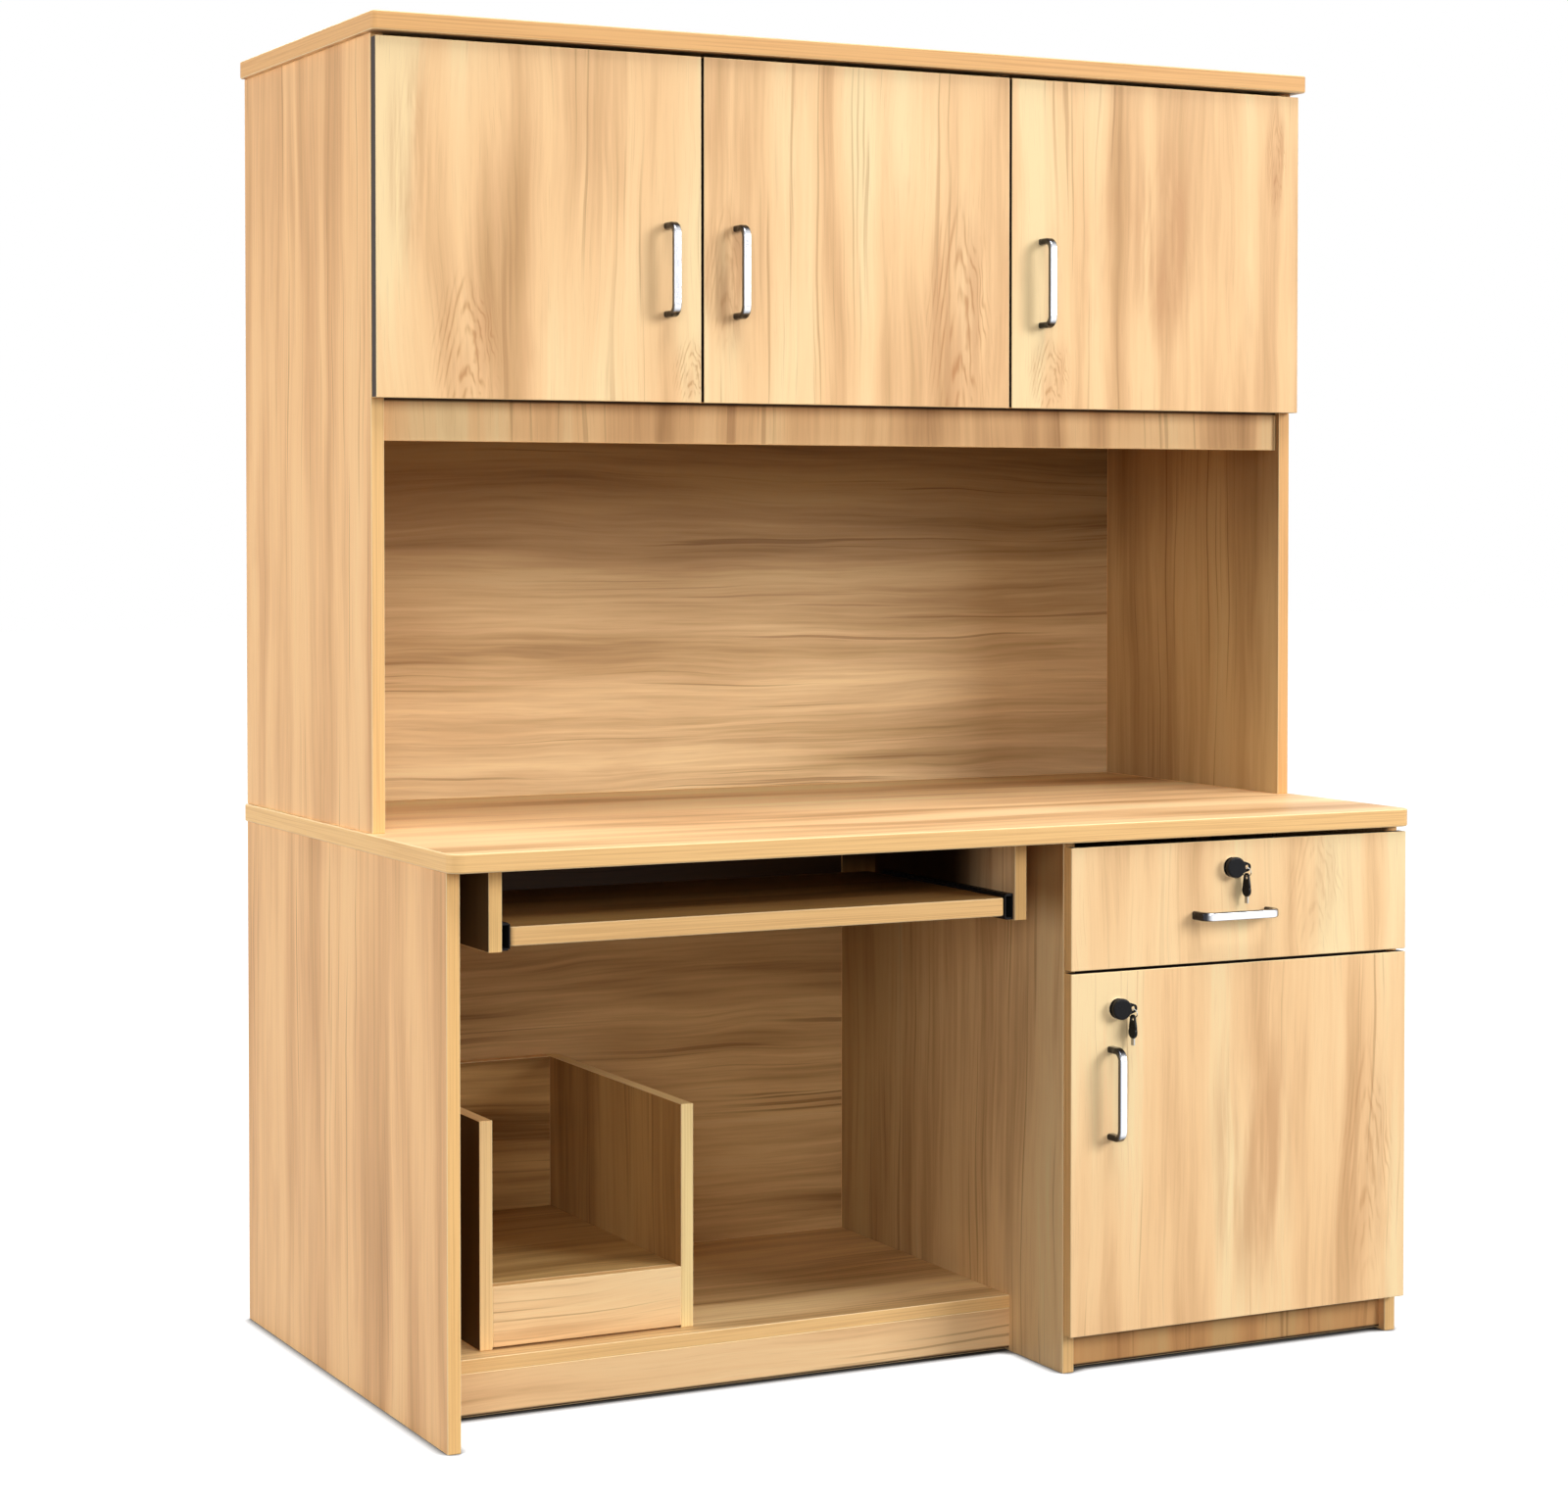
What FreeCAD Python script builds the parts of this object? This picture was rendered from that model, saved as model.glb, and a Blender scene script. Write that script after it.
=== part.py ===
import FreeCAD, Part
import os
from math import acos, cos, pi, radians, sin, sqrt

# Computer cabinet: a desk with a pedestal, a keyboard tray and a stand for the computer,
# and a hutch with three overhead doors standing on the desktop. Millimetres, +Z up,
# front towards -Y, origin on the floor in the middle of the whole outline.

# Overall sizes
carcass_width = 1446.0
carcass_depth = 800.0
desk_height = 750.0
overall_height = 1818.0
hutch_depth = 532.0
pedestal_width = 556.0

# Boards
board = 18.0
top_board = 25.0
edge_ease = 0.8
top_edge_radius = 2.5
top_corner_radius = 7.0
desk_corner_radius = 18.0
overrun = 5.0

# Desktop and hutch top overhangs
desk_front_overhang = 29.0
desk_side_overhang = 5.0
top_front_overhang = 31.0
top_side_overhang = 8.0

# Backs, floors and plinths
back_inset = 37.0
bay_back_inset = 137.0
bay_floor_height = 78.5
bay_floor_setback = 141.0
pedestal_floor_height = 73.0
pedestal_plinth_setback = 12.0
plinth_floor_gap = 4.0

# Doors and drawer front
door_standoff = 3.0
front_gap = 4.0
hutch_door_height = 468.0
left_door_width = 465.5
middle_door_width = 480.0
hutch_door_top_gap = 6.0
hutch_floor_cover = 3.0
hutch_rail_height = 58.0
hutch_rail_setback = 9.0
drawer_front_height = 167.0
drawer_front_top_gap = 7.5
pedestal_door_bottom = 53.0

# Stand for the computer in the bay
stand_width = 306.5
stand_left_gap = 94.0
stand_setback = 175.0
stand_wall_height = 300.5
stand_floor_height = 82.5
stand_skirt_gap = 3.0

# Keyboard tray and its hangers
hanger_gap = 46.0
hanger_height = 106.0
hanger_depth = 400.0
hanger_setback = 20.0
tray_drop = 75.0
tray_depth = 390.0
tray_setback = 25.0

# Slides: nested channels with a running gap between them
slide_thickness = 12.7
slide_wall = 1.2
slide_run = 0.4
slide_channel_depth = 10.2
tray_slide_height = 35.0
tray_slide_length = 350.0
drawer_slide_height = 45.6
drawer_slide_length = 500.0
drawer_slide_lift = 40.0

# Drawer box
drawer_board = 15.0
drawer_box_height = 95.0
drawer_box_clearance = 5.5
drawer_bottom_board = 6.0
drawer_groove = 7.0
drawer_bottom_lift = 10.0

# Pull handles
handle_length = 128.0
handle_projection = 34.0
handle_bar_width = 12.0
handle_bar_thickness = 9.0
handle_section_radius = 3.2
handle_bend_radius = 13.0
hutch_handle_inset = 50.0
hutch_handle_drop = 290.0
pedestal_handle_inset = 63.5
pedestal_handle_drop = 165.0
drawer_handle_drop = 101.0
drawer_pull_offset = -20.0

# Cup hinges with one pin
cup_radius = 17.5
cup_wall = 1.0
cup_floor = 0.8
cup_depth = 14.0
cup_edge_distance = 3.5
cup_flange = 1.2
cup_flange_lip = 1.1
cup_wing_length = 56.0
cup_wing_width = 18.0
cup_seat_clearance = 0.15
hinge_pin_radius = 1.2
hinge_pin_edge_distance = 7.8
hinge_pin_depth = 10.6
hinge_pin_press = 0.02
hinge_running_fit = 0.05
hinge_eye_radius = 2.2
hinge_ear_gap = 0.4
hinge_ear_width = 3.0
hinge_arm_thickness = 2.4
hinge_arm_width = 8.0
hinge_arm_reach = 17.0
hinge_arm_bend = 2.6
hinge_arm_length = 62.0
hinge_arm_standoff = 5.6
hinge_crank_start = 4.0
hinge_crank_end = 16.0
plate_setback = 37.0
plate_length = 44.0
plate_width = 16.0
plate_wing_span = 48.0
plate_wing_width = 14.0
hinge_inset = 80.0

# Cam locks and their keys
drawer_lock_drop = 37.0
door_lock_drop = 50.0
door_lock_inset = 73.0
lock_rim_radius = 14.0
lock_rim = 2.5
lock_barrel_radius = 9.5
lock_barrel_tail = 8.0
lock_hole_clearance = 0.15
plug_radius = 6.5
plug_fit = 0.08
plug_proud = 0.8
cam_gap = 0.3
cam_thickness = 2.0
cam_reach = 38.0
cam_width = 14.0
key_blade_thickness = 2.0
key_blade_height = 8.0
key_blade_length = 20.0
keyway_clearance = 0.1
key_shank_radius = 3.4
key_shank_length = 3.0
key_head_radius = 14.5
key_head_thickness = 9.0
key_head_round = 2.6
key_tab_thickness = 2.4
key_tab_radius = 6.0
key_eye_right = 18.5
key_eye_radius = 3.2
ring_radius = 6.0
ring_wire_radius = 0.6
ring_turn = 45.0
quarter_turn = 90.0
ring_seat = 1.2
spare_head_radius = 8.5
spare_head_thickness = 3.6
spare_head_drop = 12.0
spare_blade_length = 15.5
spare_blade_width = 7.0

# Places worked out from the sizes above
half_width = carcass_width / 2
left_out = -half_width
left_in = left_out + board
right_out = half_width
right_in = right_out - board
fronts_depth = door_standoff + board
front_y = (fronts_depth + handle_projection - carcass_depth) / 2
rear_y = front_y + carcass_depth
hutch_front_y = rear_y - hutch_depth
back_front_y = rear_y - back_inset - board
bay_back_y = rear_y - bay_back_inset - board
desk_under = desk_height - top_board
top_under = overall_height - top_board
partition_out = right_out - pedestal_width
partition_in = partition_out + board
pedestal_middle_x = (partition_in + right_in) / 2
bay_floor_y = front_y + bay_floor_setback

hutch_door_top = top_under - hutch_door_top_gap
hutch_door_bottom = hutch_door_top - hutch_door_height
hutch_floor_under = hutch_door_bottom + hutch_floor_cover
middle_door_left = left_out + left_door_width + front_gap
right_door_left = middle_door_left + middle_door_width + front_gap
hutch_partition_x = right_door_left - front_gap / 2

drawer_front_top = desk_under - drawer_front_top_gap
drawer_front_bottom = drawer_front_top - drawer_front_height
pedestal_door_top = drawer_front_bottom - front_gap
divider_top = (drawer_front_bottom + pedestal_door_top + board) / 2

nodes = {}


def add(name, *solids):
    """Keep one named piece, or a group of identical loose pieces, for export."""
    nodes[name] = solids[0] if len(solids) == 1 else Part.makeCompound(list(solids))


def block(x0, x1, y0, y1, z0, z1):
    """A plain box between two corners."""
    return Part.makeBox(x1 - x0, y1 - y0, z1 - z0, FreeCAD.Vector(x0, y0, z0))


def panel(x0, x1, y0, y1, z0, z1):
    """A laminated board with its edge banding lightly eased."""
    plain = block(x0, x1, y0, y1, z0, z1)
    return plain.makeChamfer(edge_ease, plain.Edges)


def stands(edge, y):
    """Whether an edge is upright and lies at one depth."""
    reach = edge.BoundBox
    return reach.ZLength > reach.DiagonalLength / 2 and abs(reach.Center.y - y) < top_edge_radius


def top_panel(x0, x1, y0, y1, z0, z1, front_radius):
    """A thick top with rounded front and rear corners and a rounded lipping all round."""
    plain = block(x0, x1, y0, y1, z0, z1)
    half = plain.makeFillet(front_radius, [e for e in plain.Edges if stands(e, y0)])
    rounded = half.makeFillet(top_corner_radius, [e for e in half.Edges if stands(e, y1)])
    rims = [e for e in rounded.Edges if e.BoundBox.ZLength < top_edge_radius]
    return rounded.makeFillet(top_edge_radius, rims)


def cylinder(radius, length, start, direction):
    """A round bar from a point along a direction."""
    return Part.makeCylinder(radius, length, start, direction)


def along_y(radius, x, z, y0, y1):
    """A round bar along Y between two depths."""
    return cylinder(radius, y1 - y0, FreeCAD.Vector(x, y0, z), FreeCAD.Vector(0, 1, 0))


def along_z(radius, x, y, z0, z1):
    """A round bar along Z between two heights."""
    return cylinder(radius, z1 - z0, FreeCAD.Vector(x, y, z0), FreeCAD.Vector(0, 0, 1))


def mirrored(shape, x):
    """The same piece on the other side of an upright plane."""
    return shape.mirror(FreeCAD.Vector(x, 0, 0), FreeCAD.Vector(1, 0, 0))


def moved(shape, x, y, z):
    """A copy of a piece set in its place."""
    return shape.translated(FreeCAD.Vector(x, y, z))


def teardrop(x0, z0, r0, x1, z1, r1, y0, y1):
    """A plate in the XZ plane: two round ends of different size and their tangents."""
    span = sqrt((x1 - x0) ** 2 + (z1 - z0) ** 2)
    ux = (x1 - x0) / span
    uz = (z1 - z0) / span
    lean = acos((r0 - r1) / span)

    def rim(x, z, r, angle):
        dx = ux * cos(angle) - uz * sin(angle)
        dz = uz * cos(angle) + ux * sin(angle)
        return FreeCAD.Vector(x + r * dx, y0, z + r * dz)

    first = rim(x0, z0, r0, lean)
    last = rim(x0, z0, r0, -lean)
    far_first = rim(x1, z1, r1, lean)
    far_last = rim(x1, z1, r1, -lean)
    outline = Part.Wire([
        Part.Arc(first, rim(x0, z0, r0, pi), last).toShape(),
        Part.LineSegment(last, far_last).toShape(),
        Part.Arc(far_last, rim(x1, z1, r1, 0), far_first).toShape(),
        Part.LineSegment(far_first, first).toShape(),
    ])
    return Part.Face(outline).extrude(FreeCAD.Vector(0, y1 - y0, 0))


# Desk carcass

def desk_carcass():
    """Sides, partition, desktop, backs, floors and plinths of the lower part."""
    add("base_left_side", panel(left_out, left_in, front_y, rear_y, 0, desk_under))
    add("base_right_side", panel(right_in, right_out, front_y, rear_y, 0, desk_under))
    add("pedestal_partition", panel(partition_out, partition_in, front_y, rear_y, 0, desk_under))
    add("desktop", top_panel(left_out - desk_side_overhang, right_out + desk_side_overhang,
                             front_y - desk_front_overhang, rear_y, desk_under, desk_height,
                             desk_corner_radius))

    add("bay_back_panel", panel(left_in, partition_out, bay_back_y, bay_back_y + board,
                                bay_floor_height, desk_under))
    bay_floor_under = bay_floor_height - board
    add("bay_floor", panel(left_in, partition_out, bay_floor_y, bay_back_y + board,
                           bay_floor_under, bay_floor_height))
    add("bay_plinth", panel(left_in, partition_out, bay_floor_y, bay_floor_y + board,
                            plinth_floor_gap, bay_floor_under))

    pedestal_floor_under = pedestal_floor_height - board
    add("pedestal_floor", panel(partition_in, right_in, front_y, back_front_y,
                                pedestal_floor_under, pedestal_floor_height))
    plinth_y = front_y + pedestal_plinth_setback
    add("pedestal_plinth", panel(partition_in, right_in, plinth_y, plinth_y + board,
                                 plinth_floor_gap, pedestal_floor_under))
    add("pedestal_divider", panel(partition_in, right_in, front_y, back_front_y,
                                  divider_top - board, divider_top))
    add("pedestal_back", panel(partition_in, right_in, back_front_y, back_front_y + board,
                               pedestal_floor_under, desk_under))


def computer_stand():
    """Low three-walled stand on the bay floor that keeps the computer upright."""
    outer_left = left_in + stand_left_gap
    outer_right = outer_left + stand_width
    inner_left = outer_left + board
    inner_right = outer_right - board
    stand_y = front_y + stand_setback
    stand_top = bay_floor_height + stand_wall_height
    floor_top = bay_floor_height + stand_floor_height
    rear_wall_y = bay_back_y - board
    add("stand_left_wall", panel(outer_left, inner_left, stand_y, bay_back_y,
                                 bay_floor_height, stand_top))
    add("stand_right_wall", panel(inner_right, outer_right, stand_y, bay_back_y,
                                  bay_floor_height, stand_top))
    add("stand_back_wall", panel(inner_left, inner_right, rear_wall_y, bay_back_y,
                                 bay_floor_height, stand_top))
    add("stand_skirt", panel(inner_left, inner_right, stand_y, stand_y + board,
                             bay_floor_height + stand_skirt_gap, floor_top))
    add("stand_floor", panel(inner_left, inner_right, stand_y + board, rear_wall_y,
                             floor_top - board, floor_top))


# Slides

def channel(x0, x1, half_height, y0, length, z, open_right):
    """One folded channel of a slide, open towards +X or towards -X."""
    outer = block(x0, x1, y0, y0 + length, z - half_height, z + half_height)
    inner_half = half_height - slide_wall
    left = x0 + slide_wall if open_right else x0 - overrun
    right = x1 + overrun if open_right else x1 - slide_wall
    return outer.cut(block(left, right, y0 - overrun, y0 + length + overrun,
                           z - inner_half, z + inner_half))


def keyboard_shelf():
    """Two hangers under the desktop, a slide on each, and the tray that runs out on them."""
    left_face = left_in + hanger_gap + board
    right_face = partition_out - hanger_gap - board
    middle_x = (left_face + right_face) / 2
    hanger_y = front_y + hanger_setback
    hanger = panel(left_face - board, left_face, hanger_y, hanger_y + hanger_depth,
                   desk_under - hanger_height, desk_under)
    add("keyboard_hanger_left", hanger)
    add("keyboard_hanger_right", mirrored(hanger, middle_x))

    tray_top = desk_under - tray_drop
    tray_y = front_y + tray_setback
    slide_z = tray_top - top_board / 2
    half = tray_slide_height / 2
    outer = channel(left_face, left_face + slide_channel_depth, half, tray_y,
                    tray_slide_length, slide_z, True)
    add("keyboard_slide_outers", outer, mirrored(outer, middle_x))
    step = slide_wall + slide_run
    inner = channel(left_face + step, left_face + slide_thickness, half - step, tray_y,
                    tray_slide_length, slide_z, False)
    add("keyboard_slide_inners", inner, mirrored(inner, middle_x))
    add("keyboard_tray", top_panel(left_face + slide_thickness, right_face - slide_thickness,
                                   tray_y, tray_y + tray_depth, tray_top - top_board, tray_top,
                                   top_corner_radius))


# Handles, hinges and locks

def pull(centre, upright):
    """A bent bar handle: rounded flat bar, two bends, feet on the front's face."""
    half = (handle_length - handle_bar_thickness) / 2
    run = FreeCAD.Vector(0, 0, 1) if upright else FreeCAD.Vector(1, 0, 0)
    out = FreeCAD.Vector(0, -1, 0)
    across = run.cross(out)
    reach = handle_projection - handle_bar_thickness / 2
    bend = handle_bend_radius
    short = bend - bend * cos(pi / 4)
    foot_a = centre - run * half
    foot_b = centre + run * half

    def bent(foot, inward):
        arc_foot = foot + out * (reach - bend)
        arc_mid = foot + out * (reach - short) + inward * short
        arc_end = foot + out * reach + inward * bend
        return Part.Arc(arc_foot, arc_mid, arc_end).toShape(), arc_foot, arc_end

    arc_a, low_a, top_a = bent(foot_a, run)
    arc_b, low_b, top_b = bent(foot_b, run * -1)
    path = Part.Wire([
        Part.LineSegment(foot_a, low_a).toShape(),
        arc_a,
        Part.LineSegment(top_a, top_b).toShape(),
        arc_b,
        Part.LineSegment(low_b, foot_b).toShape(),
    ])
    section = rounded_rectangle(foot_a, run, across, handle_bar_thickness, handle_bar_width)
    shell = Part.BRepOffsetAPI.MakePipeShell(path)
    shell.add(section)
    shell.build()
    shell.makeSolid()
    return shell.shape()


def rounded_rectangle(centre, along, across, length, width):
    """Wire of a bar's section with rounded corners, square to the bar."""
    radius = handle_section_radius
    short = radius - radius * cos(pi / 4)
    a = length / 2
    b = width / 2

    def at(s, t):
        return centre + along * s + across * t

    edges = []
    for sa, sb in ((1, 1), (-1, 1), (-1, -1), (1, -1)):
        flat_end = at(sa * a, sb * (b - radius))
        side_end = at(sa * (a - radius), sb * b)
        middle = at(sa * (a - short), sb * (b - short))
        edges.append(Part.Arc(flat_end, middle, side_end).toShape())
    edges.append(Part.LineSegment(at(a - radius, b), at(radius - a, b)).toShape())
    edges.append(Part.LineSegment(at(a - radius, -b), at(radius - a, -b)).toShape())
    edges.append(Part.LineSegment(at(a, b - radius), at(a, radius - b)).toShape())
    edges.append(Part.LineSegment(at(-a, b - radius), at(-a, radius - b)).toShape())
    return Part.Wire(Part.__sortEdges__(edges))


# Hinge pieces are drawn for a door hung on its left: x = 0 is the door's hung edge and
# y = 0 the front of the board that carries it.
cup_x = cup_edge_distance + cup_radius
door_back = -door_standoff
pin_x = hinge_pin_edge_distance
pin_y = door_back - hinge_pin_depth
ear_in = hinge_arm_width / 2 + hinge_ear_gap
ear_out = ear_in + hinge_ear_width


def cup_bore():
    """Round pocket in the door that takes a hinge cup."""
    return along_y(cup_radius + cup_seat_clearance, cup_x, 0, door_back - cup_depth, door_back + overrun)


def hinge_cup():
    """Pressed cup with a flange and screw wings, open to the back of the door."""
    flange_y = door_back + cup_flange
    half_wing = (cup_wing_length - cup_wing_width) / 2
    body = along_y(cup_radius, cup_x, 0, door_back - cup_depth, door_back)
    lip = along_y(cup_radius + cup_flange_lip, cup_x, 0, door_back, flange_y)
    for side in (-1, 1):
        wing_end = along_y(cup_wing_width / 2, cup_x, side * half_wing, door_back, flange_y)
        lip = lip.fuse(wing_end)
    strap = block(cup_x - cup_wing_width / 2, cup_x + cup_wing_width / 2, door_back, flange_y,
                  -half_wing, half_wing)
    hollow = along_y(cup_radius - cup_wall, cup_x, 0, door_back - cup_depth + cup_floor, flange_y + overrun)
    ears = []
    for z0, z1 in ((ear_in, ear_out), (-ear_out, -ear_in)):
        ear = block(cup_x - cup_radius, pin_x + hinge_eye_radius, door_back - cup_depth,
                    pin_y + hinge_eye_radius, z0, z1)
        ears.append(ear.common(body))
    bore = along_z(hinge_pin_radius + hinge_pin_press, pin_x, pin_y, -ear_out, ear_out)
    return body.fuse([lip, strap]).cut(hollow).fuse(ears).cut(bore).removeSplitter()


def hinge_pin():
    """Pin between the ears of the cup, which the arm turns on."""
    return along_z(hinge_pin_radius, pin_x, pin_y, -ear_out, ear_out)


def hinge_arm(overlay):
    """Bent arm from the pin, out of the cup and back along the carcass board."""
    leg_x = pin_x + hinge_arm_reach
    rest_x = overlay + hinge_arm_standoff + hinge_arm_thickness / 2
    corners = [FreeCAD.Vector(pin_x, pin_y, 0), FreeCAD.Vector(leg_x, pin_y, 0)]
    if leg_x - rest_x > hinge_arm_thickness:
        corners.append(FreeCAD.Vector(leg_x, hinge_crank_start, 0))
        corners.append(FreeCAD.Vector(rest_x, hinge_crank_end, 0))
    corners.append(FreeCAD.Vector(corners[-1].x, hinge_arm_length, 0))
    strip = bent_strip(corners)
    eye = along_z(hinge_eye_radius, pin_x, pin_y, -hinge_arm_width / 2, hinge_arm_width / 2)
    bore = along_z(hinge_pin_radius + hinge_running_fit, pin_x, pin_y, -hinge_arm_width, hinge_arm_width)
    return strip.fuse(eye).cut(bore).removeSplitter()


def bent_strip(corners):
    """Sheet strip that follows corners in plan, each bend rounded."""
    edges = []
    start = corners[0]
    for here, after in zip(corners[1:-1], corners[2:]):
        into = (here - start).normalize()
        away = (after - here).normalize()
        turn = into.getAngle(away)
        setback = hinge_arm_bend * sin(turn / 2) / cos(turn / 2)
        bend_in = here - into * setback
        bend_out = here + away * setback
        bisector = (away - into).normalize()
        depth = hinge_arm_bend / cos(turn / 2) - hinge_arm_bend
        edges.append(Part.LineSegment(start, bend_in).toShape())
        edges.append(Part.Arc(bend_in, here + bisector * depth, bend_out).toShape())
        start = bend_out
    edges.append(Part.LineSegment(start, corners[-1]).toShape())
    path = Part.Wire(edges)
    half = hinge_arm_thickness / 2
    first = (corners[1] - corners[0]).normalize()
    side = FreeCAD.Vector(-first.y, first.x, 0)
    low = FreeCAD.Vector(0, 0, -hinge_arm_width / 2)
    high = FreeCAD.Vector(0, 0, hinge_arm_width / 2)
    foot = corners[0]
    section = Part.makePolygon([foot + side * half + low, foot + side * half + high,
                                foot - side * half + high, foot - side * half + low,
                                foot + side * half + low])
    shell = Part.BRepOffsetAPI.MakePipeShell(path)
    shell.add(section)
    shell.build()
    shell.makeSolid()
    return shell.shape()


def hinge_plate(overlay):
    """Cross-shaped plate that holds the arm on the carcass board."""
    face = overlay + hinge_arm_standoff
    y0 = plate_setback - plate_length / 2
    spine = block(overlay, face, y0, y0 + plate_length, -plate_width / 2, plate_width / 2)
    wing_y = plate_setback - plate_wing_width / 2
    wings = block(overlay, overlay + hinge_arm_standoff / 2, wing_y, wing_y + plate_wing_width,
                  -plate_wing_span / 2, plate_wing_span / 2)
    return spine.fuse(wings).removeSplitter()


def placed(shape, edge_x, plane_y, z, hung_right):
    """Set a hinge piece at a door's hung edge, mirrored for a door hung on its right."""
    side = mirrored(shape, 0) if hung_right else shape
    return moved(side, edge_x, plane_y, z)


hinge_arms = []
hinge_plates = []


def door(name, x0, x1, z0, z1, plane_y, hung_right, overlay, cuts=()):
    """A door board with its two hinges: cups and pins on the door, arms and plates behind."""
    edge_x = x1 if hung_right else x0
    leaf = panel(x0, x1, plane_y - fronts_depth, plane_y - door_standoff, z0, z1)
    heights = (z0 + hinge_inset, z1 - hinge_inset)
    fittings = []
    for z in heights:
        leaf = leaf.cut(placed(cup_bore(), edge_x, plane_y, z, hung_right))
        fittings.append(placed(hinge_cup(), edge_x, plane_y, z, hung_right))
        fittings.append(placed(hinge_pin(), edge_x, plane_y, z, hung_right))
        hinge_arms.append(placed(hinge_arm(overlay), edge_x, plane_y, z, hung_right))
        hinge_plates.append(placed(hinge_plate(overlay), edge_x, plane_y, z, hung_right))
    for tool in cuts:
        leaf = leaf.cut(tool)
    add(name, leaf)
    add(name + "_hinge_cups", *fittings)


def cam_lock(prefix, x, z, face_y):
    """Cylinder, plug with its cam, key and hanging spare key; returns the hole in the front."""
    rim_y = face_y - lock_rim
    tail_y = face_y + board + lock_barrel_tail
    barrel = along_y(lock_barrel_radius, x, z, face_y, tail_y)
    rim = along_y(lock_rim_radius, x, z, rim_y, face_y)
    bore = along_y(plug_radius + plug_fit, x, z, rim_y - overrun, tail_y + overrun)
    add(prefix + "_lock_cylinder", barrel.fuse(rim).cut(bore).removeSplitter())

    plug_y = rim_y - plug_proud
    cam_y = tail_y + cam_gap
    plug = along_y(plug_radius, x, z, plug_y, cam_y)
    cam = teardrop(x, z, cam_width / 2, x - cam_reach + cam_width / 2, z, cam_width / 2,
                   cam_y, cam_y + cam_thickness)
    half_slot = key_blade_thickness / 2 + keyway_clearance
    half_tall = key_blade_height / 2 + keyway_clearance
    keyway = block(x - half_slot, x + half_slot, plug_y - overrun,
                   plug_y + key_blade_length + keyway_clearance, z - half_tall, z + half_tall)
    add(prefix + "_lock_plug", plug.fuse(cam).cut(keyway).removeSplitter())

    head_back = plug_y - key_shank_length
    head_front = head_back - key_head_thickness
    head_middle = (head_back + head_front) / 2
    disc = along_y(key_head_radius, x, z, head_front, head_back)
    disc = disc.makeFillet(key_head_round, [e for e in disc.Edges if len(e.Vertexes) == 1])
    half_tab = key_tab_thickness / 2
    eye_x = x + key_eye_right
    tab = teardrop(x, z, key_head_radius - key_head_round, eye_x, z, key_tab_radius,
                   head_middle - half_tab, head_middle + half_tab)
    shank = along_y(key_shank_radius, x, z, head_middle, plug_y)
    blade = block(x - key_blade_thickness / 2, x + key_blade_thickness / 2, plug_y - key_shank_length,
                  plug_y + key_blade_length, z - key_blade_height / 2, z + key_blade_height / 2)
    eye = along_y(key_eye_radius, eye_x, z,
                  head_middle - key_tab_thickness, head_middle + key_tab_thickness)
    add(prefix + "_key", disc.fuse([tab, shank, blade]).cut(eye).removeSplitter())

    hang_z = z - ring_seat - ring_radius
    spare_eye_z = hang_z - ring_radius - ring_seat
    lean = radians(ring_turn)
    ring = Part.makeTorus(ring_radius, ring_wire_radius, FreeCAD.Vector(eye_x, head_middle, hang_z),
                          FreeCAD.Vector(sin(lean), cos(lean), 0))
    add(prefix + "_spare_key", ring, spare_key(eye_x, head_middle, spare_eye_z))
    return along_y(lock_barrel_radius + lock_hole_clearance, x, z,
                   face_y - overrun, face_y + board + overrun)


def spare_key(x, y, eye_z):
    """Second key, hanging edge-on to the front: flat head with an eye, and a plain blade."""
    head_z = eye_z - spare_head_drop
    blade_end = head_z - spare_head_radius - spare_blade_length
    half_tab = key_tab_thickness / 2
    half_head = spare_head_thickness / 2
    tab = teardrop(0, head_z, spare_head_radius, 0, eye_z, key_tab_radius, -half_tab, half_tab)
    head = along_y(spare_head_radius, 0, head_z - spare_head_drop / 2, -half_head, half_head)
    clear = along_y(key_tab_radius, 0, eye_z, -half_head, half_head)
    eye = along_y(key_eye_radius, 0, eye_z, -half_head, half_head)
    blade = block(-spare_blade_width / 2, spare_blade_width / 2, -key_blade_thickness / 2,
                  key_blade_thickness / 2, blade_end, head_z)
    flat = tab.fuse([head.cut(clear), blade]).cut(eye).removeSplitter()
    flat.rotate(FreeCAD.Vector(0, 0, 0), FreeCAD.Vector(0, 0, 1), quarter_turn)
    return moved(flat, x, y, 0)


# Drawer

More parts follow.
